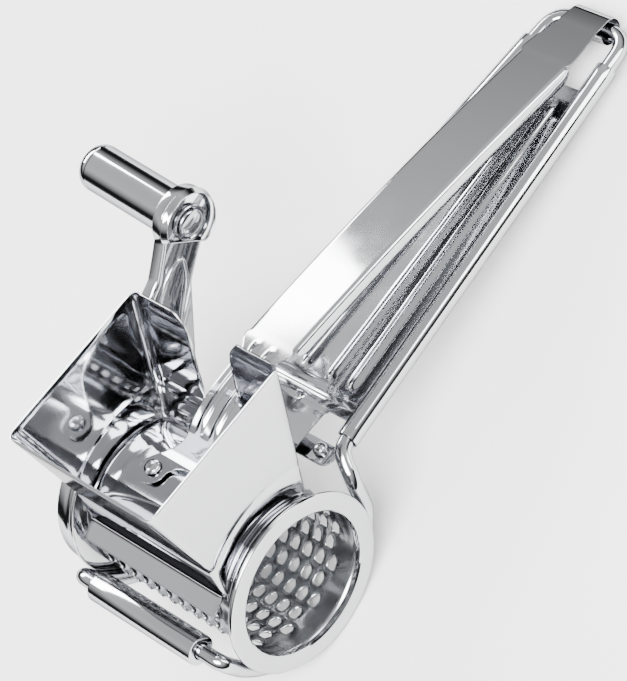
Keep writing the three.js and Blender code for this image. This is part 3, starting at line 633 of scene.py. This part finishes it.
def grip_plate_mesh(size):
    """The tongue, the beaded web and the two edges rolled round the wires."""
    mesh = bmesh.new()
    low_end = on_drum(size.collar, BACK_ANGLE).x + 6
    stations = [low_end + (PLATE_LOW - low_end) * i / 12 for i in range(12)]
    stations += [PLATE_LOW - 0.02]
    stations += [PLATE_LOW + (PLATE_FAR - PLATE_LOW) * i / 110 for i in range(111)]
    tongue = 11.0
    rows = []
    for x in stations:
        edge = wire_y(x) - size.wire / 2 - 0.5
        fillet = min(max((x - PLATE_LOW + 1.6) / 1.6, 0), 1)
        half = tongue - 1 + (x - low_end) / (PLATE_LOW - low_end) + 1.2 * (1 - math.sqrt(1 - fillet**2))
        if x >= PLATE_LOW:
            half = edge
        crease = -0.45 * math.exp(-((x - PLATE_LOW - 4.5) / 1.1) ** 2)
        row = []
        for i in range(61):
            y = half * (i / 30 - 1)
            row.append(Vector((x, y, wire_z(x) + crease + bead_lift(x, y, size.bead_height))))
        rows.append(row)
    grid(mesh, rows)
    roll_r = size.wire / 2 + 0.3 + size.sheet / 2
    for side in (-1, 1):
        rows = []
        for k in range(41):
            x = ROLL_LOW + (ROLL_FAR - ROLL_LOW) * k / 40
            row = []
            for i in range(31):
                angle = math.radians(180 - 345 * i / 30)
                y = side * (wire_y(x) + roll_r * math.cos(angle))
                row.append(Vector((x, y, wire_z(x) + roll_r * math.sin(angle))))
            rows.append(row)
        grid(mesh, rows)
    return mesh


# ---- pusher lever ----------------------------------------------------------------------------
def lever_line(size):
    """The middle of the lever's sheet from the hinge curl down to the ears, seen from the side."""
    curl_r = size.wire / 2 + 1.2 + size.lever_sheet / 2
    seat = PUSHER_R + size.sheet + 0.3 + size.lever_sheet / 2
    centre = Vector((HINGE_AT.x, 0, HINGE_AT.z))
    curl = [centre + on_drum(curl_r, math.radians(a)) for a in range(-210, 84, 7)]
    bow = []
    for i in range(1, 31):
        t = 1 - i / 30
        straight = STRIP_LOW_Z + t * (HINGE_AT.z + curl_r - STRIP_LOW_Z)
        bow.append((STRIP_LOW_X + (HINGE_AT.x - STRIP_LOW_X) * t, 0, straight + 4 * STRIP_BOW * t * (1 - t)))
    arm = [(ARM_BACK, 0, 34.7), (15, 0, 32.4), (6.5, 0, seat + 1.2), (2.5, 0, seat), (EAR_X - EAR_R, 0, seat)]
    return curl, rounded([*bow, *arm], 5, 6)


def lever_half(x):
    """Half the lever's width at a place along it."""
    if x > STRIP_END:
        return LEVER_HALF + (LEVER_FAR_HALF - LEVER_HALF) * smooth_step(x, STRIP_END, HINGE_AT.x)
    if x > 43:
        return LEVER_HALF
    if x > 37.5:
        return ARM_HALF + (LEVER_HALF - ARM_HALF) * smooth_step(x, 37.5, 43)
    if x > 12:
        return ARM_HALF
    if x > EAR_X:
        return ARM_HALF + (EAR_OFFSET + EAR_R - ARM_HALF) * (1 - smooth_step(x, EAR_X, 12))
    return EAR_OFFSET + math.sqrt(max(EAR_R ** 2 - (x - EAR_X) ** 2, 0.01))


def ear_inner(x):
    """Half the opening between the two ears at a place along the lever's foot."""
    if x > EAR_X:
        return (EAR_OFFSET - EAR_R) * math.sqrt(max(0.0, 1 - ((x - EAR_X) / (EAR_ARCH - EAR_X)) ** 2))
    return EAR_OFFSET - math.sqrt(max(EAR_R ** 2 - (x - EAR_X) ** 2, 0.01))


def rib_lift(x, y):
    """Two pressed stiffening ribs on the arm and the very start of the strip."""
    along = smooth_step(x, 13, 17) * (1 - smooth_step(x, 38.5, 41.5))
    away = abs(abs(y) - 2.6)
    return 0.85 * along * math.cos(min(away / 1.35, 1) * math.pi / 2)


def flange_depth(x):
    """How far the strip's turned-down edges reach at a place along it."""
    end = min((x - STRIP_START) / 5, (STRIP_END - x) / 5, 1)
    return FLANGE * math.sqrt(1 - (1 - end) ** 2) if end > 0 else 0.0


def lever_mesh(size):
    """Curl, strip with its flanges, ribbed arm and the two ears."""
    curl, strip = lever_line(size)
    mesh = bmesh.new()
    fine = spaced(strip, 0.3)
    line = [(p, True) for p in curl] + [(p, False) for i, p in enumerate(fine) if p.x < 10 or i % 5 == 0]
    wide, ears, flanges = [], {-1: [], 1: []}, {-1: [], 1: []}
    for i, (p, curled) in enumerate(line):
        half = LEVER_FAR_HALF if curled else lever_half(p.x)
        along = (line[min(i + 1, len(line) - 1)][0] - line[max(i - 1, 0)][0]).normalized()
        normal = Vector((along.z, 0, -along.x))
        if normal.z < 0 and not curled:
            normal.negate()
        if not curled and p.x <= EAR_ARCH:
            inner = ear_inner(p.x)
            for side in (-1, 1):
                across = [side * (inner + (half - inner) * k / 20) for k in range(21)]
                ears[side].append([p + Vector((0, y, 0)) for y in across])
            continue
        depth = 0.0 if curled else flange_depth(p.x)
        fold = min(1.2, depth)
        row = []
        for k in range(41):
            y = (half - fold) * (k / 20 - 1)
            lift = 0.0 if curled else rib_lift(p.x, y)
            row.append(p + normal * lift + Vector((0, y, 0)))
        wide.append(row)
        if depth < 0.4:
            continue
        for side in (-1, 1):
            edge = p + Vector((0, side * (half - fold), 0))
            turned_down = []
            for k in range(6):
                turn = math.pi / 2 * k / 5
                out = Vector((0, side * fold * math.sin(turn), 0))
                turned_down.append(edge + out - normal * fold * (1 - math.cos(turn)))
            turned_down += [edge + out - normal * (depth + fold) / 2, edge + out - normal * depth]
            flanges[side].append(turned_down)
    grid(mesh, wide)
    for side in (-1, 1):
        grid(mesh, [[wide[-1][20 + side * k] for k in range(21)], *ears[side]])
        grid(mesh, flanges[side])
    return mesh


def pusher_plate_mesh():
    """The curved plate that presses the cheese onto the drum."""
    rows = []
    for i in range(49):
        p = on_drum(PUSHER_R + 0.4, math.radians(123 + (51 - 123) * i / 48))
        rows.append([Vector((p.x, -PUSHER_END + 2 * PUSHER_END * k / 20, p.z)) for k in range(21)])
    return grid(bmesh.new(), rows)


# ---- drum ------------------------------------------------------------------------------------
# Left half of one hole's edge, from the middle of its foot up to the point, keyed by its place in the cell's
# border: share of the half width, and millimetres along.
HOLE_EDGE = {
    (0, 2): (0.0, -1.9), (0, 1): (-0.45, -1.85), (0, 0): (-0.85, -1.65),
    (1, 0): (-1.0, -1.05), (2, 0): (-1.0, -0.3), (3, 0): (-0.96, 0.4),
    (4, 0): (-0.8, 1.05), (4, 1): (-0.43, 1.65), (4, 2): (0.0, 2.1),
}
HOLE_TIP = HOLE_EDGE[(4, 2)][1]
HOLE_HALF = 1.3


def hole_point(i, j):
    """A point of the hole's edge for a place in the border, mirrored in the right half."""
    u, v = HOLE_EDGE[(i, min(j, 4 - j))]
    return (u if j <= 2 else -u), v


def barrel_mesh(size):
    """The perforated barrel: staggered rows of pointed-arch holes, each edge raised into a tooth."""
    mesh = bmesh.new()
    rows, count = size.hole_rows, size.holes_per_row
    around = rows * 4
    margin = 6.2
    quarters = 4 * count + 2
    pitch = 2 * (BARREL_END - margin) / (count + 0.5)
    grid_verts = {}

    def spot(turn, y, lift=0.0):
        angle = 2 * math.pi * turn / around
        p = on_drum(BARREL_R - 0.35 + lift, angle)
        return Vector((p.x, y, p.z))

    def vert(turn, quarter):
        key = (turn % around, quarter)
        if key not in grid_verts:
            grid_verts[key] = mesh.verts.new(spot(turn, -BARREL_END + margin + quarter * pitch / 4))
        return grid_verts[key]

    cell_v = 2 * math.pi * BARREL_R / rows

    def cell(row, start):
        ring = [(i, 0) for i in range(4)] + [(4, j) for j in range(4)]
        ring += [(4 - i, 4) for i in range(4)] + [(0, 4 - j) for j in range(4)]
        border = [vert(row * 4 + i, start + j) for i, j in ring]
        middle_turn, middle_y = row * 4 + 2, -BARREL_END + margin + (start + 2) * pitch / 4
        previous = border
        for share in (1.32, 1.0):
            loop = []
            for i, j in ring:
                u, v = hole_point(i, j)
                raised = 0.2 + 0.8 * max(0.0, v / HOLE_TIP) ** 0.8
                lift = size.tooth_height * raised * (1.0 if share == 1.0 else 0.3)
                turn = middle_turn + v * share / cell_v * 4
                loop.append(mesh.verts.new(spot(turn, middle_y + u * HOLE_HALF * share, lift)))
            bridge(mesh, previous, loop)
            previous = loop

    def plain(row, first, last):
        for i in range(4):
            for q in range(first, last):
                mesh.faces.new((vert(row * 4 + i, q), vert(row * 4 + i + 1, q),
                                vert(row * 4 + i + 1, q + 1), vert(row * 4 + i, q + 1)))

    for row in range(rows):
        shift = 2 * (row % 2)
        for i in range(count):
            cell(row, shift + 4 * i)
        if shift:
            plain(row, 0, 2)
        else:
            plain(row, quarters - 2, quarters)
    for side in (-1, 1):
        quarter = 0 if side < 0 else quarters
        inner_ring = [vert(t, quarter) for t in range(around)]
        for k in range(1, 4):
            y = side * (BARREL_END - margin * (1 - k / 3))
            ring = [mesh.verts.new(spot(t, y)) for t in range(around)]
            bridge(mesh, inner_ring, ring)
            inner_ring = ring
    return mesh


def rim_profile(side):
    """A drum rim: the barrel's edge turned out into a flat flange with a rounded rim."""
    y0, y1 = side * (RIM_IN - 0.25), side * RIM_OUT
    thick = y1 - y0
    outer = RIM_R
    inner = BARREL_R - 1.15
    turns = [math.pi * i / 8 for i in range(9)]
    edge = [(outer - 0.6 + 0.6 * math.sin(a), y1 - thick / 2 + thick / 2 * math.cos(a)) for a in turns]
    lip = [(inner, y0), (inner, y1 - thick * 0.55), (inner + 0.15, y1 - thick * 0.2), (inner + 0.55, y1)]
    return closed([*lip, (inner + 2.5, y1 - thick * 0.04), *edge])


def hub_places():
    """The crank arm's three rivets round the drum's axis."""
    return [on_drum(13, CRANK_ANGLE + math.pi + 2 * math.pi * i / 3) for i in range(3)]


def crank_outline(inset, hub_r=25.6, tip_r=9.9):
    """The crank arm's outline, hub at the origin and tip along +X, shrunk by an inset."""
    hub, tip, waist, waist_x = hub_r - inset, tip_r - inset, 7.4 - inset, CRANK_LENGTH - 18
    hub_angle = math.atan2(waist, waist_x) + math.acos(hub / math.hypot(waist, waist_x))
    tip_angle = math.radians(128)
    start = (hub * math.cos(hub_angle), hub * math.sin(hub_angle))

    def curve(a, b, c, steps=10):
        a, b, c = Vector(a), Vector(b), Vector(c)
        return [a.lerp(b, i / steps).lerp(b.lerp(c, i / steps), i / steps) for i in range(1, steps + 1)]

    turns = [hub_angle + (2 * math.pi - 2 * hub_angle) * i / 40 for i in range(41)]
    points = [Vector((hub * math.cos(a), hub * math.sin(a))) for a in turns]
    neck_low = (CRANK_LENGTH + tip * math.cos(tip_angle), -tip * math.sin(tip_angle))
    neck_high = (neck_low[0], -neck_low[1])
    points += spaced([points[-1], (waist_x, -waist)], 3)[1:]
    points += curve(points[-1], (CRANK_LENGTH - 12, -waist), neck_low)
    turns = [-tip_angle + 2 * tip_angle * i / 30 for i in range(1, 31)]
    points += [Vector((CRANK_LENGTH + tip * math.cos(a), tip * math.sin(a))) for a in turns]
    points += curve(neck_high, (CRANK_LENGTH - 12, waist), (waist_x, waist))
    points += spaced([(waist_x, waist), start], 3)[1:-1]
    return points


def crank_mesh():
    """The stamped arm: a smooth face towards the drum with its edges turned away from it."""
    mesh = bmesh.new()
    depth = CRANK_OUT - CRANK_IN - 0.6
    loops = []
    for inset, back in [(0.6, depth), (0.6, depth * 0.55), (0.6, 1.5), (0.85, 0.7), (1.35, 0.2), (2.1, 0.0)]:
        loops.append([Vector((p.x, CRANK_IN + 0.6 + back, p.y)) for p in crank_outline(inset)])
    made = [[mesh.verts.new(p) for p in loop] for loop in loops]
    for first, second in zip(made, made[1:]):
        bridge(mesh, first, second)
    mesh.faces.new(made[-1])
    mesh.transform(ALONG_CRANK)
    return mesh


def crank_rib_mesh():
    """The arch-shaped stiffening rib on the arm's face, legs towards the hub."""
    mesh = bmesh.new()
    apex, foot = CRANK_LENGTH - 9.5, 33.0
    leg = [(foot, 0, 6.2), (apex - 6, 0, 3.6), (apex, 0, 0), (apex - 6, 0, -3.6), (foot, 0, -6.2)]
    line = [Vector((p.x, CRANK_IN + 0.45, p.z)) for p in rounded(leg, 7, 8)]
    tube(mesh, spaced(line, 1.5), 0.8, 12)
    mesh.transform(ALONG_CRANK)
    return mesh


def cup_mesh():
    """The raised rim of the cup at the arm's tip, with a straight side where it meets the arm."""
    turns = [math.radians(-128 + 256 * i / 48) for i in range(49)]
    arc = [Vector((math.cos(a), math.sin(a))) for a in turns]
    rows = []
    for radius, rise in ((9.7, 0.5), (9.4, 0.0), (8.9, -0.9), (8.7, -1.5)):
        loop = [Vector((CRANK_LENGTH + p.x * radius, CRANK_IN + 0.3 + rise, p.y * radius)) for p in arc]
        rows.append([*loop, *[loop[-1].lerp(loop[0], i / 10) for i in range(1, 11)]])
    mesh = grid(bmesh.new(), rows)
    mesh.transform(ALONG_CRANK)
    return mesh


def on_grip(profile, segments=48):
    """A profile turned round the grip's own splayed axis, its heights measured from the arm's tip."""
    mesh = turned(bmesh.new(), profile, (0, 0), segments)
    mesh.transform(Matrix.Translation(TIP_AT) @ GRIP_TURN)
    return mesh


# ---- operators -------------------------------------------------------------------------------
def require(made, what):
    """Stops the script when a piece came out empty."""
    if made is None or not len(made.data.polygons):
        raise RuntimeError(f"{what} has no faces")
    return made


class GRATER_OT_hopper(bpy.types.Operator):
    """Folded-sheet food hopper with its collars, lip and lever notch"""

    bl_idname = "grater.hopper"
    bl_label = "Hopper"

    def execute(self, context):
        size = sizes()
        made = piece("hopper", hopper_mesh(size), "frame", ["hopper_shell"], sharp=50)
        thicken(require(made, "the hopper"), size.sheet)
        return {"FINISHED"}


class GRATER_OT_wire_frame(bpy.types.Operator):
    """Bent frame wire: cradles, side runs and far loop, with the front sleeve"""

    bl_idname = "grater.wire_frame"
    bl_label = "Wire frame"

    def execute(self, context):
        size = sizes()
        mesh = tube(bmesh.new(), wire_line(size), size.wire / 2, 24)
        wire = piece("frame_wire", mesh, "frame", ["wire_frame"], slot="wire_steel")
        require(wire, "the wire")
        bore = size.wire / 2 + 0.3
        end = [(bore, -SLEEVE_END), (SLEEVE_R - 0.5, -SLEEVE_END), (SLEEVE_R - 0.12, -SLEEVE_END + 0.15),
               (SLEEVE_R, -SLEEVE_END + 0.6)]
        profile = closed([*end, *[(r, -y) for r, y in reversed(end)]])
        mesh = turned(bmesh.new(), profile, (SLEEVE_AT.x, SLEEVE_AT.z), 48)
        bright = polished_stainless_sheet
        piece("sleeve", mesh, "sleeve", ["front_sleeve"], slot="satin_steel", looks=bright)
        return {"FINISHED"}


class GRATER_OT_grip_plate(bpy.types.Operator):
    """Beaded grip plate rolled round the wires, its brace and its rivets"""

    bl_idname = "grater.grip_plate"
    bl_label = "Grip plate"

    def execute(self, context):
        size = sizes()
        mesh = grip_plate_mesh(size)
        plate = piece("beaded_plate", mesh, "frame", ["grip_plate"], sharp=60)
        thicken(require(plate, "the grip plate"), size.sheet, edge=0.12)
        self.brace()
        self.rivets(size)
        return {"FINISHED"}

    def brace(self):
        top = wire_z(BRACE_X) - 2.6
        width = 3.3
        rows = []
        for i in range(49):
            y = BRACE_HALF * (i / 24 - 1)
            pad = 1.3 * (1 - smooth_step(abs(y), 4, 6))
            near_end = max(0.0, abs(y) - BRACE_HALF + width)
            round_end = width * math.sqrt(max(0.02, 1 - (near_end / width) ** 2))
            rows.append([Vector((BRACE_X + round_end * (k / 4 - 1), y, top - 0.5 + pad)) for k in range(9)])
        brace = piece("brace_strap", grid(bmesh.new(), rows), "frame", ["back_brace"])
        thicken(brace, 1.0)

    def rivets(self, size):
        x = BRACE_X + 1.2
        profile = rivet_profile(HEAD_R, SHANK_R, size.sheet / 2, -4.3)
        screw = upright(bmesh.new(), profile, (x, 0, wire_z(x)), UP)
        piece("brace_centre_stud", screw, "frame", ["brace_screw"])
        x = on_drum(size.collar, BACK_ANGLE).x + 9
        for side, label in SIDES:
            profile = rivet_profile(HEAD_R, SHANK_R, 1.75, -0.45)
            rivet = upright(bmesh.new(), profile, (x, side * 6, wire_z(x)), UP)
            piece(f"tongue_stud_{label}", rivet, "frame", [f"tongue_rivet_{label}"])
            place = (BRACE_X + 0.6, side * BRACE_RIVET_Y, wire_z(BRACE_X) - 2.6)
            rivet = upright(bmesh.new(), rivet_profile(2.1, 1.1, 0, -1.0, dome=1.6, foot=0.4), place, UP)
            piece(f"brace_stud_{label}", rivet, "frame", [f"brace_rivet_{label}"])


class GRATER_OT_lever(bpy.types.Operator):
    """Squeeze lever with its hinge curl and ears, the curved pusher plate and their rivets"""

    bl_idname = "grater.lever"
    bl_label = "Squeeze lever"

    def execute(self, context):
        size = sizes()
        mesh = lever_mesh(size)
        lever = piece("squeeze_lever", mesh, "lever", ["pusher_lever"], sharp=60)
        thicken(require(lever, "the lever"), size.lever_sheet)
        plate = piece("curved_pusher", pusher_plate_mesh(), "lever", ["pusher_plate"])
        thicken(plate, size.sheet)
        top = PUSHER_R + size.sheet + 0.3 + size.lever_sheet
        for side, label in SIDES:
            profile = rivet_profile(HEAD_R, SHANK_R, top, PUSHER_R - 0.05, dome=1.1, foot=0.35)
            rivet = upright(bmesh.new(), profile, (0, side * EAR_OFFSET, 0), UP)
            piece(f"ear_stud_{label}", rivet, "lever", [f"pusher_rivet_{label}"])
        return {"FINISHED"}


class GRATER_OT_drum(bpy.types.Operator):
    """Perforated barrel with raised teeth, its two rims and its end plate"""

    bl_idname = "grater.drum"
    bl_label = "Drum"

    def execute(self, context):
        size = sizes()
        mesh = barrel_mesh(size)
        barrel = piece("toothed_barrel", mesh, "drum", ["drum_barrel"], slot="satin_steel", sharp=50)
        thicken(require(barrel, "the barrel"), size.barrel_sheet, edge=0)
        for side, label in SIDES:
            rim = turned(bmesh.new(), rim_profile(side), (0, 0), 144)
            piece(f"rim_{label}", rim, "drum", [f"drum_rim_{label}"])
        radius, bevel = RIM_R - 0.6, 0.4
        inner = [(0, PLATE_IN), (radius - bevel, PLATE_IN), (radius, PLATE_IN + bevel)]
        dish = [*inner, (radius, PLATE_OUT - bevel), (radius - bevel, PLATE_OUT), (0, PLATE_OUT)]
        end = turned(bmesh.new(), dish, (0, 0), 128)
        piece("closed_end", end, "drum", ["drum_end_plate"])
        return {"FINISHED"}


class GRATER_OT_crank(bpy.types.Operator):
    """Crank arm with its rib, rivets and pin, and the grip that turns on it"""

    bl_idname = "grater.crank"
    bl_label = "Crank"

    def execute(self, context):
        size = sizes()
        arm = piece("stamped_arm", crank_mesh(), "drum", ["crank_arm"], sharp=40)
        thicken(require(arm, "the crank arm"), size.crank_sheet)
        piece("arm_rib", crank_rib_mesh(), "drum")
        for i, p in enumerate(hub_places()):
            profile = rivet_profile(HEAD_R, SHANK_R, CRANK_IN + 1.2, RIM_OUT + 0.3)
            rivet = turned(bmesh.new(), profile, (p.x, p.z), 40)
            piece(f"hub_stud_{i + 1}", rivet, "drum", [f"hub_rivet_{i + 1}"])
        self.pin()
        self.grip()
        return {"FINISHED"}

    def pin(self):
        cup = piece("cup_rim", cup_mesh(), "drum")
        thicken(cup, 0.7)
        turns = [math.pi / 2 * i / 10 for i in range(10)]
        head = [(PIN_HEAD_R * math.cos(a), -0.9 - 1.3 * math.sin(a)) for a in turns]
        shank = [(PIN_R, -0.6), (PIN_R, GRIP_END - 9.3), (PIN_R - 0.3, GRIP_END - 9), (0, GRIP_END - 9)]
        profile = [(0, -2.2), *reversed(head), (PIN_HEAD_R, -0.6), *shank]
        piece("crank_pin", on_grip(profile), "drum", ["grip_pin"], slot="satin_steel")
        ring = [(5.4, 0.1), (5.4, -0.6), (5.2, -0.8), (4.9, -0.8), (4.6, -0.5), (4.6, 0.1)]
        piece("pin_seat", on_grip(closed(ring)), "drum", slot="satin_steel")
        washer = [(2.7, 4.5), (5.7, 4.5), (6, 4.75), (6, 5.15), (5.7, 5.4), (2.7, 5.4)]
        piece("pin_washer", on_grip(closed(washer)), "drum", ["grip_washer"], slot="satin_steel")

    def grip(self):
        wall, seam, start = GRIP_R - 0.8, GRIP_END - 5.3, GRIP_END - 5
        rolled = [(wall, GRIP_START), (GRIP_R - 0.5, GRIP_START), (GRIP_R, GRIP_START + 0.5)]
        shell = [*rolled, (GRIP_R, seam - 0.1), (GRIP_R - 0.12, seam), (wall, seam)]
        piece("grip_sleeve", on_grip(closed(shell), 96), "grip", ["grip_tube"])
        turns = [math.pi / 2 * i / 14 for i in range(14)]
        dome = [(GRIP_R * math.cos(a), start + 0.3 + 4.7 * math.sin(a)) for a in turns]
        cap = [(0, start - 1.6), (wall - 0.3, start - 1.6), (wall - 0.3, start), (GRIP_R - 0.12, start),
               (GRIP_R, start + 0.12), *dome, (0, GRIP_END)]
        piece("grip_dome", on_grip(cap, 96), "grip", ["grip_end_cap"])
        for label, low in (("near", GRIP_START + 0.4), ("far", GRIP_END - 14)):
            high = low + BUSH_LENGTH
            ring = [(2.7, low), (5.6, low), (5.9, low + 0.3), (5.9, high - 0.3), (5.6, high), (2.7, high)]
            piece(f"bush_{label}", on_grip(closed(ring)), "grip", [f"grip_bush_{label}"], slot="satin_steel")


class GRATER_OT_studio(bpy.types.Operator):
    """Pale floor, soft lights and the camera"""

    bl_idname = "grater.studio"
    bl_label = "Studio"

    def execute(self, context):
        floor = bmesh.new()
        bmesh.ops.create_grid(floor, x_segments=1, y_segments=1, size=0.5)
        data = bpy.data.meshes.new("studio_floor")
        floor.to_mesh(data)
        floor.free()
        data.materials.append(studio_paper())
        add("studio_floor", data)
        self.lights()
        self.world(context)
        self.camera(context)
        return {"FINISHED"}

    def lights(self):
        aim = DRUM_AXIS + Vector((0.06, 0, 0.02))
        for name, offset, width, depth, power in (
            ("softbox_key", (-0.5, -0.5, 1.1), 0.9, 0.6, 60.0),
            ("softbox_side", (0.9, -0.9, 0.6), 0.5, 0.9, 18.0),
            ("softbox_back", (0.3, 1.2, 0.8), 1.2, 0.4, 36.0),
        ):
            light = bpy.data.lights.new(name, "AREA")
            light.shape = "RECTANGLE"
            light.size = width
            light.size_y = depth
            light.energy = power
            holder = add(name, light)
            holder.location = aim + Vector(offset)
            holder.rotation_euler = (aim - holder.location).to_track_quat("-Z", "Y").to_euler()

    def world(self, context):
        world = bpy.data.worlds.new("studio_room")
        world.use_nodes = True
        tree = world.node_tree
        tree.nodes.clear()
        place = node(tree, "ShaderNodeTexCoord")
        split = node(tree, "ShaderNodeSeparateXYZ", links={"Vector": place.outputs["Generated"]})
        height = node(tree, "ShaderNodeMapRange", {"From Min": -1.0}, {"Value": split.outputs["Z"]})
        ramp = node(tree, "ShaderNodeValToRGB", links={"Fac": height.outputs["Result"]})
        stops = [(0.0, 0.35), (0.47, 0.3), (0.5, 0.02), (0.6, 0.02), (0.68, 0.35), (0.8, 1.0), (1.0, 0.75)]
        while len(ramp.color_ramp.elements) < len(stops):
            ramp.color_ramp.elements.new(0.5)
        for element, (where, grey) in zip(ramp.color_ramp.elements, stops):
            element.position = where
            element.color = (grey, grey, grey, 1)
        background = node(tree, "ShaderNodeBackground", {"Strength": 1.0}, {"Color": ramp.outputs["Color"]})
        node(tree, "ShaderNodeOutputWorld", links={"Surface": background.outputs["Background"]})
        context.scene.world = world

    def camera(self, context):
        finish = context.scene.grater_finish
        data = bpy.data.cameras.new("studio_camera")
        data.lens = finish.lens
        data.sensor_fit = "HORIZONTAL"
        holder = add("studio_camera", data)
        right = Vector((0.6158, -0.6957, -0.3699))
        ahead = Vector((0.2582, 0.6217, -0.7394))
        up = right.cross(ahead).normalized()
        level = Matrix((right, up, -ahead)).transposed().to_4x4()
        turn = Matrix.Rotation(TILT, 4, "Y")
        eye = DRUM_AXIS + turn @ Vector(finish.eye)
        holder.matrix_world = Matrix.Translation(eye) @ turn @ level
        data.clip_end = 10
        context.scene.camera = holder


OPERATORS = (
    GRATER_OT_hopper,
    GRATER_OT_wire_frame,
    GRATER_OT_grip_plate,
    GRATER_OT_lever,
    GRATER_OT_drum,
    GRATER_OT_crank,
    GRATER_OT_studio,
)


class GRATER_PT_panel(bpy.types.Panel):
    """Lists the grater's sizes, finishes and build steps"""

    bl_idname = "GRATER_PT_panel"
    bl_label = "Rotary Grater"
    bl_space_type = "VIEW_3D"
    bl_region_type = "UI"
    bl_category = "Grater"

    def draw(self, context):
        for group in (context.scene.grater_sizes, context.scene.grater_finish):
            box = self.layout.box()
            for key in group.__annotations__:
                box.prop(group, key)
        for operator in OPERATORS:
            self.layout.operator(operator.bl_idname)


CLASSES = (GraterSizes, GraterFinish, *OPERATORS, GRATER_PT_panel)


def register():
    for each in CLASSES:
        bpy.utils.register_class(each)
    bpy.types.Scene.grater_sizes = PointerProperty(type=GraterSizes)
    bpy.types.Scene.grater_finish = PointerProperty(type=GraterFinish)


def unregister():
    del bpy.types.Scene.grater_finish
    del bpy.types.Scene.grater_sizes
    for each in reversed(CLASSES):
        bpy.utils.unregister_class(each)


def main():
    register()
    for operator in OPERATORS:
        group, name = operator.bl_idname.split(".")
        getattr(getattr(bpy.ops, group), name)()
    bpy.context.view_layer.update()


if __name__ == "__main__":
    main()
